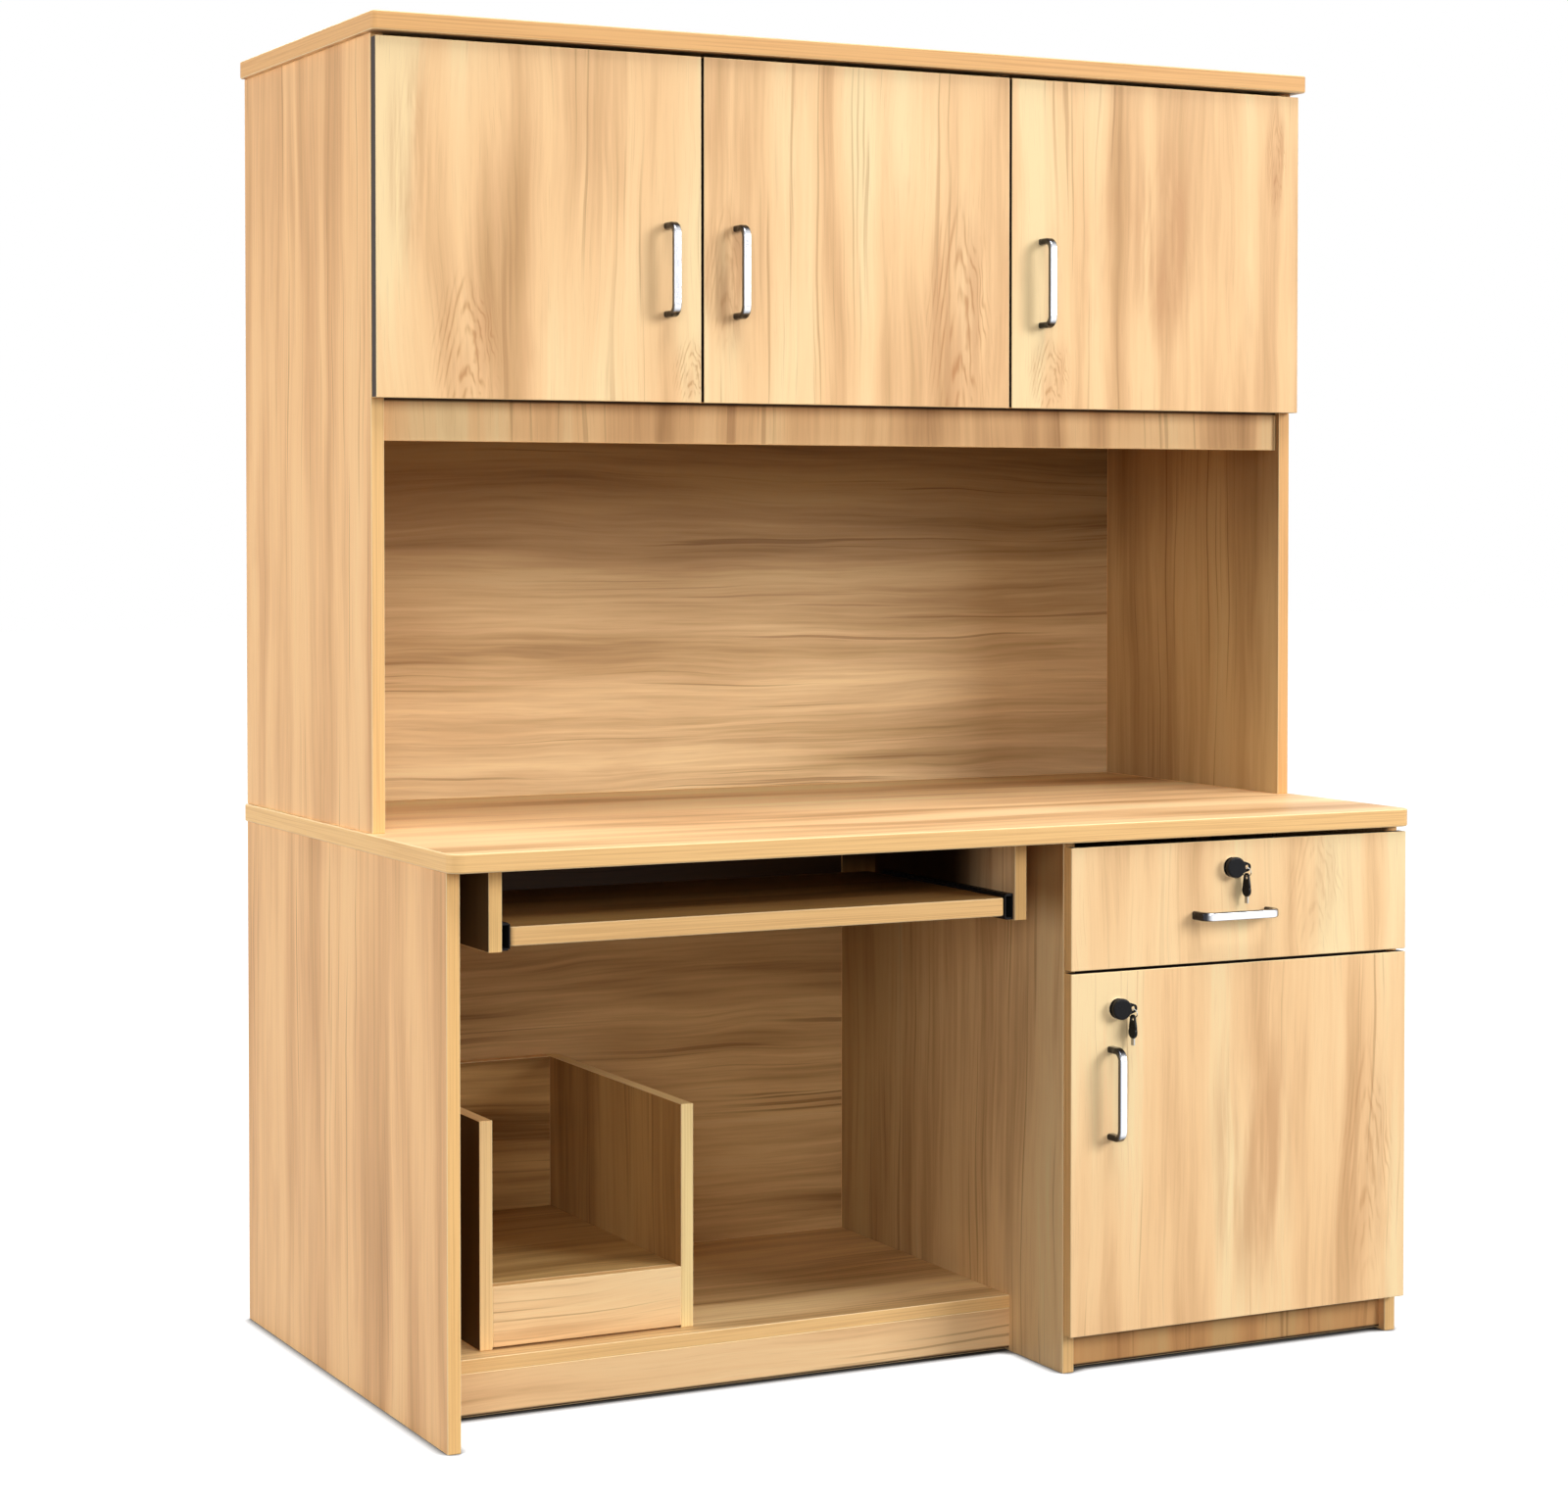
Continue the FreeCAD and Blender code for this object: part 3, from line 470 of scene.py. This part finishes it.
# The axis of the painted shade, where the face is clear and where deep, which face, and its two
# tints.
painted_shades = {
    "desktop": [PaintedShade(Y, hutch_low.y, hutch_high.y, high_face, untinted,
                       (0.74, 0.78, 0.76, 1.0))],
    "hutch_rail": [PaintedShade(Z, door_foot - 0.005, door_foot - 0.001, low_face, untinted, painted_shadow_line)],
    "hutch_back": [PaintedShade(Z, desk_face + 0.08, rail_foot + 0.04, low_face,
                          (1.04, 1.10, 1.15, 1.0), (0.30, 0.28, 0.22, 1.0),
                          below=cupboard_floor)],
    "hutch_right_side": [PaintedShade(Z, rail_foot - 0.25, rail_foot + 0.06, low_face,
                                (0.65, 0.79, 0.87, 1.0), (0.38, 0.39, 0.38, 1.0),
                                below=cupboard_floor)],
    "pedestal_partition": [PaintedShade(Y, bay_depth - 0.55, bay_depth, low_face, untinted,
                                  (0.52, 0.48, 0.39, 1.0)),
                           PaintedShade(Y, tray_low.y + 0.02, tray_low.y + 0.25, low_face,
                                  (0.45, 0.35, 0.26, 1.0), (0.03, 0.024, 0.018, 1.0),
                                  above=tray_low.z)],
    "bay_back_panel": [PaintedShade(Z, tray_low.z - 0.10, tray_low.z - 0.01, low_face, untinted,
                              (0.045, 0.034, 0.024, 1.0))],
    "keyboard_tray": [PaintedShade(Y, tray_low.y + 0.05, tray_high.y, high_face,
                             (0.45, 0.37, 0.23, 1.0), (0.045, 0.032, 0.020, 1.0))],
    "keyboard_hanger_left": [PaintedShade(Y, tray_low.y, tray_high.y, low_face,
                                    (0.09, 0.085, 0.068, 1.0), (0.035, 0.030, 0.025, 1.0))],
    "keyboard_hanger_right": [PaintedShade(Y, tray_low.y + 0.02, tray_low.y + 0.17, low_face, untinted,
                                     (0.03, 0.020, 0.012, 1.0))],
    "pedestal_plinth": [PaintedShade(Z, pedestal_foot - 0.014, pedestal_foot - 0.006, low_face, untinted,
                               (0.25, 0.20, 0.15, 1.0)),
                        PaintedShade(Z, pedestal_plinth_foot + 0.005, pedestal_plinth_foot + 0.002,
                               low_face, untinted, painted_shadow_line)],
    "bay_plinth": [PaintedShade(Z, bay_plinth_foot + 0.005, bay_plinth_foot + 0.002, low_face, untinted,
                          painted_shadow_line)],
    "stand_left_wall": [PaintedShade(Y, tray_low.y, bay_depth, low_face, (0.16, 0.14, 0.12, 1.0),
                               (0.07, 0.06, 0.05, 1.0))],
}
print(len(painted_shades), "boards deepen towards a recess")

# %% Paint shade on a face
soft_start = 0.04
# Side boards run on behind the back panel they meet, and are plain there.
meets_back_at = {"hutch_right_side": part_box("hutch_back")[0].y, "pedestal_partition": bay_depth}


def painted_shade_on(tree, board, face, here, outward):
    """Multiply a face by the tints of the board's painted shade."""
    for recess in painted_shades.get(board, ()):
        depth = smooth_step(tree, here[recess.axis], recess.clear, recess.deep)
        tint = mix_colour(tree, depth, recess.clear_tint, recess.deep_tint)
        on_side = maths(tree, "MULTIPLY", outward, recess.side)
        looks_in = smooth_step(tree, on_side, start=0.5, end=0.9)
        above = smooth_step(tree, here[Z], recess.above - soft_start, recess.above + soft_start)
        below = maths(tree, "LESS_THAN", here[Z], recess.below)
        before_back = maths(tree, "LESS_THAN", here[Y], meets_back_at.get(board, far))
        share = maths(tree, "MULTIPLY", looks_in, before_back)
        share = maths(tree, "MULTIPLY", share, maths(tree, "MULTIPLY", above, below))
        face = mix_colour(tree, share, face, tint, "MULTIPLY")
    return face


print("faces can deepen")

# %% [markdown]
# ## One board
# A board is cut from the printed sheet, its edges are closed, and the corner between them is
# eased with a file; the paler line around each face is a painted highlight on that corner. The
# normal says which of the three is seen, so one material does for the whole board and nothing has
# to be split.

# %% One board cut from the print
# Painted highlight along the eased corner of each board.
painted_edge_highlight = (0.98, 0.74, 0.41, 1.0)
relief_strength, relief_depth = 0.35, 0.0002
laminate_sheen = 0.15


def coat(tree, colour, roughness, height, strength, distance, more=None):
    """End a material in one surface with a fine relief."""
    bump = put(tree, "Bump", {"Height": height, "Strength": strength, "Distance": distance})
    inputs = {"Base Color": colour, "Roughness": roughness, "Normal": bump.outputs[0]}
    surface = put(tree, "BsdfPrincipled", {**inputs, **(more or {})})
    put(tree, "OutputMaterial", {"Surface": surface.outputs[0]})


def laminate(board, axes, cut_from, tint, strengths):
    """Beech print on the faces of a board, banding on its edges, a painted highlight between them.
    """
    across, through, along = ("XYZ".index(axis) for axis in axes)
    material = new_material("laminate_" + board)
    tree = material.node_tree
    coordinates = put(tree, "TexCoord").outputs
    here = put(tree, "SeparateXYZ", {0: coordinates["Object"]}).outputs
    facing = put(tree, "SeparateXYZ", {0: coordinates["Normal"]}).outputs
    turned_to = {0: here[across], 1: here[through], 2: here[along]}
    turned = put(tree, "CombineXYZ", turned_to).outputs[0]
    spot = put(tree, "VectorMath", {0: turned, 1: cut_from}, operation="ADD").outputs[0]
    wishes = dict(zip(("Middle", "Bands", "Fibre", "Veins"), strengths))
    printed = put(tree, "Group", {"Place": spot, **wishes}, node_tree=beech).outputs
    face = mix_colour(tree, 1.0, printed["Colour"], tint, "MULTIPLY")
    for figure in figures.get(board, ()):
        face = drawn_figure(tree, turned, board, figure, face)
    # Painted shade where the board runs into a dark recess.
    face = painted_shade_on(tree, board, face, here, facing[through])

    flatness = maths(tree, "ABSOLUTE", facing[through])
    on_face = smooth_step(tree, flatness, *squarely)
    past_edge = smooth_step(tree, flatness, start=0.30, end=0.60)
    on_painted_highlight = maths(tree, "SUBTRACT", past_edge, on_face)
    edges = mix_colour(tree, on_painted_highlight, edge_strip(tree, board, spot, facing), painted_edge_highlight)
    colour = mix_colour(tree, on_face, edges, face)
    coat(tree, colour, printed["Roughness"], printed["Height"], relief_strength, relief_depth,
         {"Specular IOR Level": laminate_sheen})
    return material


print("laminate ready")

# %% Which way the grain runs on each board
sides = ("base_left_side", "base_right_side", "hutch_left_side")
inner_sides = ("pedestal_partition", "hutch_right_side", "hutch_partition", "stand_left_wall",
               "stand_right_wall", "keyboard_hanger_left", "keyboard_hanger_right")
tops = ("desktop", "hutch_top")
floors = ("bay_floor", "pedestal_floor", "pedestal_divider", "stand_floor", "hutch_floor",
          "keyboard_tray")
backs = ("bay_back_panel", "hutch_back", "pedestal_back", "stand_back_wall", "drawer_box_front",
         "drawer_back")
low_fronts = ("stand_skirt", "bay_plinth")
fronts = ("left_door", "middle_door", "right_door", "pedestal_door", "drawer_front", "hutch_rail",
          "pedestal_plinth")
drawer_sides = ("drawer_left_side", "drawer_right_side")
warm_tint = (1.02, 0.945, 0.85, 1.0)
plain_tint = (0.99, 0.99, 0.98, 1.0)
inner_tint = (1.10, 1.20, 1.30, 1.0)
# Axes are named across the grain, through the board, along the grain. After the tint come the
# middle tone of the print and the strengths of its bands, fibre and veins.
families = (
    (sides, "YXZ", warm_tint, (0.50, 1.1, 1.0, 0.60)),
    (inner_sides, "YXZ", inner_tint, (0.42, 1.3, 1.4, 0.45)),
    (tops, "YZX", plain_tint, (0.68, 1.9, 1.3, 0.45)),
    (floors, "YZX", inner_tint, (0.42, 1.4, 1.5, 0.45)),
    (backs, "ZYX", inner_tint, (0.44, 1.5, 1.7, 0.70)),
    (low_fronts, "ZYX", plain_tint, (0.66, 1.5, 1.2, 0.50)),
    (fronts, "XYZ", plain_tint, (0.60, 2.3, 0.9, 0.40)),
    (drawer_sides, "ZXY", plain_tint, (0.64, 1.0, 1.0, 0.30)),
)
print(sum(len(family[0]) for family in families), "boards in", len(families), "families")

# %% Cut and lay every board
own_prints = {
    "hutch_top": (0.56, 1.7, 1.3, 0.45), "left_door": (0.76, 2.0, 0.9, 0.40),
    "right_door": (0.58, 2.3, 0.9, 0.40), "drawer_front": (0.74, 1.9, 0.9, 0.12),
    "pedestal_door": (0.77, 1.7, 0.9, 0.40), "hutch_back": (0.44, 0.9, 1.3, 0.60),
    "pedestal_partition": (0.60, 1.3, 1.4, 0.45), "hutch_right_side": (0.50, 1.1, 1.0, 0.60),
}
# Most tints set a board's own hue. The darker ones on the stand, the pedestal plinth, the hutch
# rail and the bay back panel are painted shade; the paler ones on the stand skirt, the drawer
# front and the pedestal door are painted light.
own_tints_and_painted_light = {
    "desktop": (0.97, 0.99, 0.99, 1.0), "hutch_right_side": warm_tint,
    "hutch_back": (0.97, 1.07, 1.13, 1.0), "bay_back_panel": (0.87, 0.89, 0.79, 1.0),
    "pedestal_partition": (1.02, 1.13, 1.17, 1.0), "bay_floor": (0.97, 1.07, 1.04, 1.0),
    "stand_floor": (0.72, 0.74, 0.57, 1.0), "stand_left_wall": (0.62, 0.61, 0.47, 1.0),
    "stand_right_wall": (0.62, 0.61, 0.47, 1.0), "stand_back_wall": (0.84, 0.83, 0.64, 1.0),
    "stand_skirt": (1.02, 1.08, 1.10, 1.0), "pedestal_plinth": (0.70, 0.56, 0.42, 1.0),
    "hutch_rail": (0.86, 0.80, 0.72, 1.0), "drawer_front": (1.03, 1.05, 1.06, 1.0),
    "pedestal_door": (1.02, 1.02, 1.02, 1.0),
}


def finish(node, material):
    """Give a solid one finish all over."""
    nodes[node].data.materials.clear()
    nodes[node].data.materials.append(material)


spot_step = (0.83, 0.37, 1.91)
board_count = 0
for family, axes, tint, strengths in families:
    for board in family:
        board_count += 1
        cut_from = tuple(step * board_count for step in spot_step)
        tint_and_painted_light = own_tints_and_painted_light.get(board, tint)
        own_print = own_prints.get(board, strengths)
        finish(board, laminate(board, axes, cut_from, tint_and_painted_light, own_print))
print(board_count, "boards finished")

# %% [markdown]
# ## Drawer bottom
# The drawer has a bottom of hardboard: pressed brown fibre, smooth on one face. Fine and coarse
# noise together give the felted look. The beech print would be wrong here, because a thin sheet
# in a groove is seldom laminated.

# %% Hardboard
pale_fibre, deep_fibre = (0.31, 0.17, 0.082, 1.0), (0.19, 0.095, 0.042, 1.0)
damp_fibre, damp_share = (0.25, 0.125, 0.055, 1.0), 0.4
hardboard = new_material("drawer_hardboard")
board_tree = hardboard.node_tree
board_place = put(board_tree, "TexCoord").outputs["Object"]
felt = noise(board_tree, board_place, (260.0, 260.0, 260.0), detail=5.0, roughness=0.7)
damp = noise(board_tree, board_place, (12.0, 12.0, 12.0), detail=3.0)
felted = smooth_step(board_tree, felt, start=0.3, end=0.7)
fibre_brown = mix_colour(board_tree, felted, deep_fibre, pale_fibre)
damp_patches = maths(board_tree, "MULTIPLY", damp, damp_share)
fibre_brown = mix_colour(board_tree, damp_patches, fibre_brown, damp_fibre)
coat(board_tree, fibre_brown, between(board_tree, damp, low=0.48, high=0.66), felt,
     strength=0.3, distance=0.0003)
finish("drawer_bottom", hardboard)
print("hardboard on the drawer bottom")

# %% [markdown]
# ## Chrome handles
# A handle is a rounded bar with both ends bent back to the front. Polished chrome mirrors the
# white studio on its face and the dark room on its sides and bends. The studio here is white all
# round, so the dark of the room is painted into the colour as a painted reflection: faces that
# don't look to the front and the bends are darker, and the feet behind the bar carry painted
# reflection and shade.

# %% Chrome with painted dark reflections on sides and feet
bright_chrome = (0.80, 0.82, 0.86, 1.0)
# Painted reflection on the sides and bends, painted reflection and shade on the feet.
painted_side_reflection = (0.13, 0.135, 0.15, 1.0)
painted_foot_dark = (0.035, 0.035, 0.04, 1.0)
bar_depth = 0.010
foot_depth = 0.017
bend_start, bend_end = 0.80, 0.94


def chrome(handle, run):
    """Polished bar along one axis; sides, bends and feet carry a painted reflection of the dark
    room.
    """
    low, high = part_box(handle)
    half_length = (high[run] - low[run]) / 2
    middle = (high[run] + low[run]) / 2
    material = new_material("chrome_" + handle)
    tree = material.node_tree
    coordinates = put(tree, "TexCoord").outputs
    here = put(tree, "SeparateXYZ", {0: coordinates["Object"]}).outputs
    facing = put(tree, "SeparateXYZ", {0: coordinates["Normal"]}).outputs
    to_front = maths(tree, "MULTIPLY", facing[Y], -1.0)
    polish = noise(tree, coordinates["Object"], (90.0, 90.0, 90.0), detail=3.0)
    turned_away = smooth_step(tree, to_front, start=0.92, end=0.50)
    bar = mix_colour(tree, turned_away, bright_chrome, painted_side_reflection)
    behind = smooth_step(tree, here[Y], low.y + bar_depth, low.y + foot_depth)
    from_middle = maths(tree, "ABSOLUTE", maths(tree, "SUBTRACT", here[run], middle))
    at_bend = smooth_step(tree, from_middle, bend_start * half_length, bend_end * half_length)
    uneven = smooth_step(tree, polish, start=0.25, end=0.50)
    in_painted_dark = maths(tree, "MULTIPLY", maths(tree, "MAXIMUM", behind, at_bend), uneven)
    coat(tree, mix_colour(tree, in_painted_dark, bar, painted_foot_dark),
         between(tree, polish, low=0.08, high=0.20), polish, strength=0.05, distance=0.0005,
         more={"Metallic": 1.0})
    return material


upright, lying = Z, X
for handle in ("left_door_handle", "middle_door_handle", "right_door_handle",
               "pedestal_door_handle"):
    finish(handle, chrome(handle, upright))
finish("drawer_handle", chrome("drawer_handle", lying))
print("five chrome handles")

# %% [markdown]
# ## Steel fittings
# Hinges are nickel plated and lightly brushed by the press, the drawer slides are zinc plated
# with a faint spangle, and the keyboard slides are coated black. All are plain mixes of two
# close tones, with the brush marks running along the part. One recipe serves them all, because
# they differ only in tone, brush and gloss.

# %% Plated and coated metal
cloud_repeats, cloud_share = (45.0, 45.0, 45.0), 0.35
scratch_depth = 0.0004


def plated(name, pale, deep, brush, roughness, metallic=1.0, grit=0.04, sheen=0.5):
    """A metal with fine marks; brush gives how tightly they repeat along each axis."""
    material = new_material(name)
    tree = material.node_tree
    place_here = put(tree, "TexCoord").outputs["Object"]
    marks = noise(tree, place_here, brush, detail=4.0, roughness=0.6)
    dull = maths(tree, "MULTIPLY", noise(tree, place_here, cloud_repeats), cloud_share)
    colour = mix_colour(tree, smooth_step(tree, marks, start=0.30, end=0.70), deep, pale)
    colour = mix_colour(tree, dull, colour, deep)
    coat(tree, colour, between(tree, marks, *roughness), marks, grit, scratch_depth,
         {"Metallic": metallic, "Specular IOR Level": sheen})
    return material


nickel = plated("nickel", (0.66, 0.65, 0.62, 1.0), (0.48, 0.47, 0.45, 1.0),
                brush=(900.0, 60.0, 900.0), roughness=(0.18, 0.34))
zinc = plated("zinc", (0.68, 0.70, 0.73, 1.0), (0.52, 0.55, 0.58, 1.0),
              brush=(700.0, 30.0, 700.0), roughness=(0.26, 0.42))
black_coat = plated("black_coat", (0.022, 0.022, 0.024, 1.0), (0.010, 0.010, 0.011, 1.0),
                    brush=(1500.0, 1500.0, 1500.0), roughness=(0.36, 0.52), metallic=0.0,
                    grit=0.15, sheen=0.12)
lock_chrome = plated("lock_chrome", (0.88, 0.89, 0.91, 1.0), (0.66, 0.67, 0.70, 1.0),
                     brush=(300.0, 40.0, 300.0), roughness=(0.10, 0.22))
lock_steel = plated("lock_steel", (0.58, 0.57, 0.54, 1.0), (0.40, 0.39, 0.37, 1.0),
                    brush=(500.0, 500.0, 500.0), roughness=(0.24, 0.40))
print("five metals mixed")

# %% Give each fitting its metal
metal_of = {
    nickel: ("hinge_arms", "hinge_plates", "left_door_hinge_cups", "middle_door_hinge_cups",
             "right_door_hinge_cups", "pedestal_door_hinge_cups"),
    zinc: ("drawer_slide_outers", "drawer_slide_middles", "drawer_slide_inners"),
    black_coat: ("keyboard_slide_outers", "keyboard_slide_inners"),
    lock_chrome: ("drawer_lock_cylinder", "door_lock_cylinder"),
    lock_steel: ("drawer_lock_plug", "door_lock_plug"),
}
for metal, fittings in metal_of.items():
    for fitting in fittings:
        finish(fitting, metal)
print(sum(len(fittings) for fittings in metal_of.values()), "fittings finished")

# %% [markdown]
# ## Keys
# Each lock holds a key with a round black head, and a second key hangs from it on a thin ring.
# A head is moulded over a steel blade, so one solid carries both: the place on the key
# decides which finish is seen.

# %% Black head over a steel blade
deep_black, pale_black = (0.005, 0.005, 0.006, 1.0), (0.012, 0.012, 0.014, 1.0)
deep_steel, pale_steel = (0.42, 0.41, 0.39, 1.0), (0.60, 0.59, 0.57, 1.0)
key_sheen = 0.12


def moulded_key(name, axis, plastic_from, plastic_to):
    """Black plastic between two places along an axis, steel outside them."""
    material = new_material(name)
    tree = material.node_tree
    place_here = put(tree, "TexCoord").outputs["Object"]
    here = put(tree, "SeparateXYZ", {0: place_here}).outputs
    after = maths(tree, "GREATER_THAN", here[axis], plastic_from)
    before = maths(tree, "LESS_THAN", here[axis], plastic_to)
    moulded = maths(tree, "MULTIPLY", after, before)
    grit = noise(tree, place_here, (1400.0, 1400.0, 1400.0))
    black = mix_colour(tree, grit, deep_black, pale_black)
    steel = mix_colour(tree, grit, deep_steel, pale_steel)
    metal_share = maths(tree, "SUBTRACT", 1.0, moulded)
    coat(tree, mix_colour(tree, moulded, steel, black), between(tree, grit, low=0.22, high=0.36),
         grit, strength=0.06, distance=0.0003,
         more={"Metallic": metal_share, "Specular IOR Level": key_sheen})
    return material


head_thickness = 0.0095
ring_drop = 0.0078
blade_rise = 0.0095
for lock in ("drawer", "door"):
    key_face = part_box(lock + "_key")[0].y
    key_finish = moulded_key(lock + "_key", Y, key_face - head_thickness,
                             key_face + head_thickness)
    finish(lock + "_key", key_finish)
    spare_low, spare_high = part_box(lock + "_spare_key")
    spare_finish = moulded_key(lock + "_spare_key", Z, spare_low.z + blade_rise,
                               spare_high.z - ring_drop)
    finish(lock + "_spare_key", spare_finish)
print("four keys finished")

# %% [markdown]
# ## Screws
# Every hinge is held by small cross-head screws: two in the wings of the cup, two in the plate
# and two that clamp the arm. Two more hold each handle from behind. A head is one disc: its
# face is inset, the inset is pulled into a cross and sunk, the rim is drawn down and rounded.
# A cross cut out by a boolean would leave slivers around it.

# %% One cross-head screw
from math import copysign
from mathutils import Matrix

head_sides = 12
face_inset = 0.3
cross_reach = 0.58
cross_half_width = 0.15
clearly_more = 1.2
cross_sunk = 0.7
rim_round = 0.45


def screw_head(name, radius, height):
    """A head that stands on the plane z = 0 and looks up."""
    work = bmesh.new()
    half_step = Matrix.Rotation(radians(180.0 / head_sides), 4, "Z")
    bmesh.ops.create_circle(work, cap_ends=True, segments=head_sides, radius=radius,
                            matrix=half_step)
    top = work.faces[:][0]
    rim = list(top.edges)
    bmesh.ops.inset_region(work, faces=[top], thickness=face_inset * radius)
    for corner in top.verts:
        x, y = corner.co.x, corner.co.y
        far_x = cross_reach if abs(x) > clearly_more * abs(y) else cross_half_width
        far_y = cross_reach if abs(y) > clearly_more * abs(x) else cross_half_width
        corner.co.x = copysign(far_x * radius, x)
        corner.co.y = copysign(far_y * radius, y)
    sunk = bmesh.ops.extrude_discrete_faces(work, faces=[top])["faces"]
    bmesh.ops.translate(work, verts=sunk[0].verts, vec=(0.0, 0.0, -cross_sunk * height))
    drawn = bmesh.ops.extrude_edge_only(work, edges=rim)["geom"]
    skirt = [item for item in drawn if isinstance(item, bmesh.types.BMVert)]
    bmesh.ops.translate(work, verts=skirt, vec=(0.0, 0.0, -height))
    bmesh.ops.bevel(work, geom=rim, offset=rim_round * height, segments=3, profile=0.5,
                    affect="EDGES", material=-1)
    bmesh.ops.translate(work, verts=work.verts, vec=(0.0, 0.0, height))
    bmesh.ops.recalc_face_normals(work, faces=work.faces)
    mesh = bpy.data.meshes.new(name)
    work.to_mesh(mesh)
    work.free()
    return mesh


hinge_head = screw_head("hinge_screw_head", radius=0.0031, height=0.0013)
handle_head = screw_head("handle_screw_head", radius=0.0040, height=0.0022)
print("screw heads with", len(hinge_head.polygons), "faces each")

# %% Rows of screws on one body
UP = Vector((0.0, 0.0, 1.0))
REARWARD = (0.0, 1.0, 0.0)


def set_screws(name, head, body, places, outward, material):
    """Copy a head to each place, looking outward, as one piece that rides on a body."""
    row = bmesh.new()
    look = UP.rotation_difference(Vector(outward)).to_matrix().to_4x4()
    for spot in places:
        before = len(row.verts)
        row.from_mesh(head)
        row.verts.ensure_lookup_table()
        new_head = row.verts[before:]
        bmesh.ops.transform(row, matrix=Matrix.Translation(spot) @ look, verts=new_head)
    mesh = bpy.data.meshes.new(name)
    row.to_mesh(mesh)
    row.free()
    mesh.materials.append(material)
    screws = bpy.data.objects.new(name, mesh)
    scene.collection.objects.link(screws)
    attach(screws, body)
    return len(places)


print("screws can be set")

# %% Hinge screws
hinge_inset = 0.080
cup_from_edge = 0.021
wing_screw = 0.023
flange_proud = 0.0012
plate_behind = 0.037
plate_screw = 0.0165
plate_wing = 0.0028
arm_face = 0.0080
arm_screws = (0.030, 0.054)
hung_on = {"left_door": ("hutch_left_side", 1), "middle_door": ("hutch_partition", -1),
           "right_door": ("hutch_right_side", -1), "pedestal_door": ("base_right_side", -1)}
screw_count = 0
for door, (board, inward) in hung_on.items():
    door_low, door_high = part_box(door)
    board_low, board_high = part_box(board)
    board_face = board_high.x if inward > 0 else board_low.x
    hung_edge = door_low.x if inward > 0 else door_high.x
    heights = (door_low.z + hinge_inset, door_high.z - hinge_inset)
    cup_x, cup_y = hung_edge + inward * cup_from_edge, door_high.y + flange_proud
    plate_x, plate_y = board_face + inward * plate_wing, board_low.y + plate_behind
    arm_x = board_face + inward * arm_face
    cups = [Vector((cup_x, cup_y, z + side * wing_screw)) for z in heights for side in (-1, 1)]
    plates = [Vector((plate_x, plate_y, z + side * plate_screw))
              for z in heights for side in (-1, 1)]
    arms = [Vector((arm_x, board_low.y + back, z)) for z in heights for back in arm_screws]
    screw_count += set_screws(door + "_cup_screws", hinge_head, door, cups, REARWARD, nickel)
    screw_count += set_screws(door + "_plate_screws", hinge_head, "cabinet", plates + arms,
                              (inward, 0.0, 0.0), nickel)
print(screw_count, "hinge screws")

# %% Handle screws
foot_from_end = 0.0045
held_by = {"left_door": ("left_door", upright), "middle_door": ("middle_door", upright),
           "right_door": ("right_door", upright), "pedestal_door": ("pedestal_door", upright),
           "drawer": ("drawer_box_front", lying)}
for body, (back_board, run) in held_by.items():
    handle_low, handle_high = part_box(body + "_handle")
    middle = (handle_low + handle_high) / 2
    middle.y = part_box(back_board)[1].y
    feet = []
    for end in (handle_low[run] + foot_from_end, handle_high[run] - foot_from_end):
        foot = middle.copy()
        foot[run] = end
        feet.append(foot)
    screw_count += set_screws(body + "_handle_screws", handle_head, body, feet, REARWARD, zinc)
print(screw_count, "screws in all")
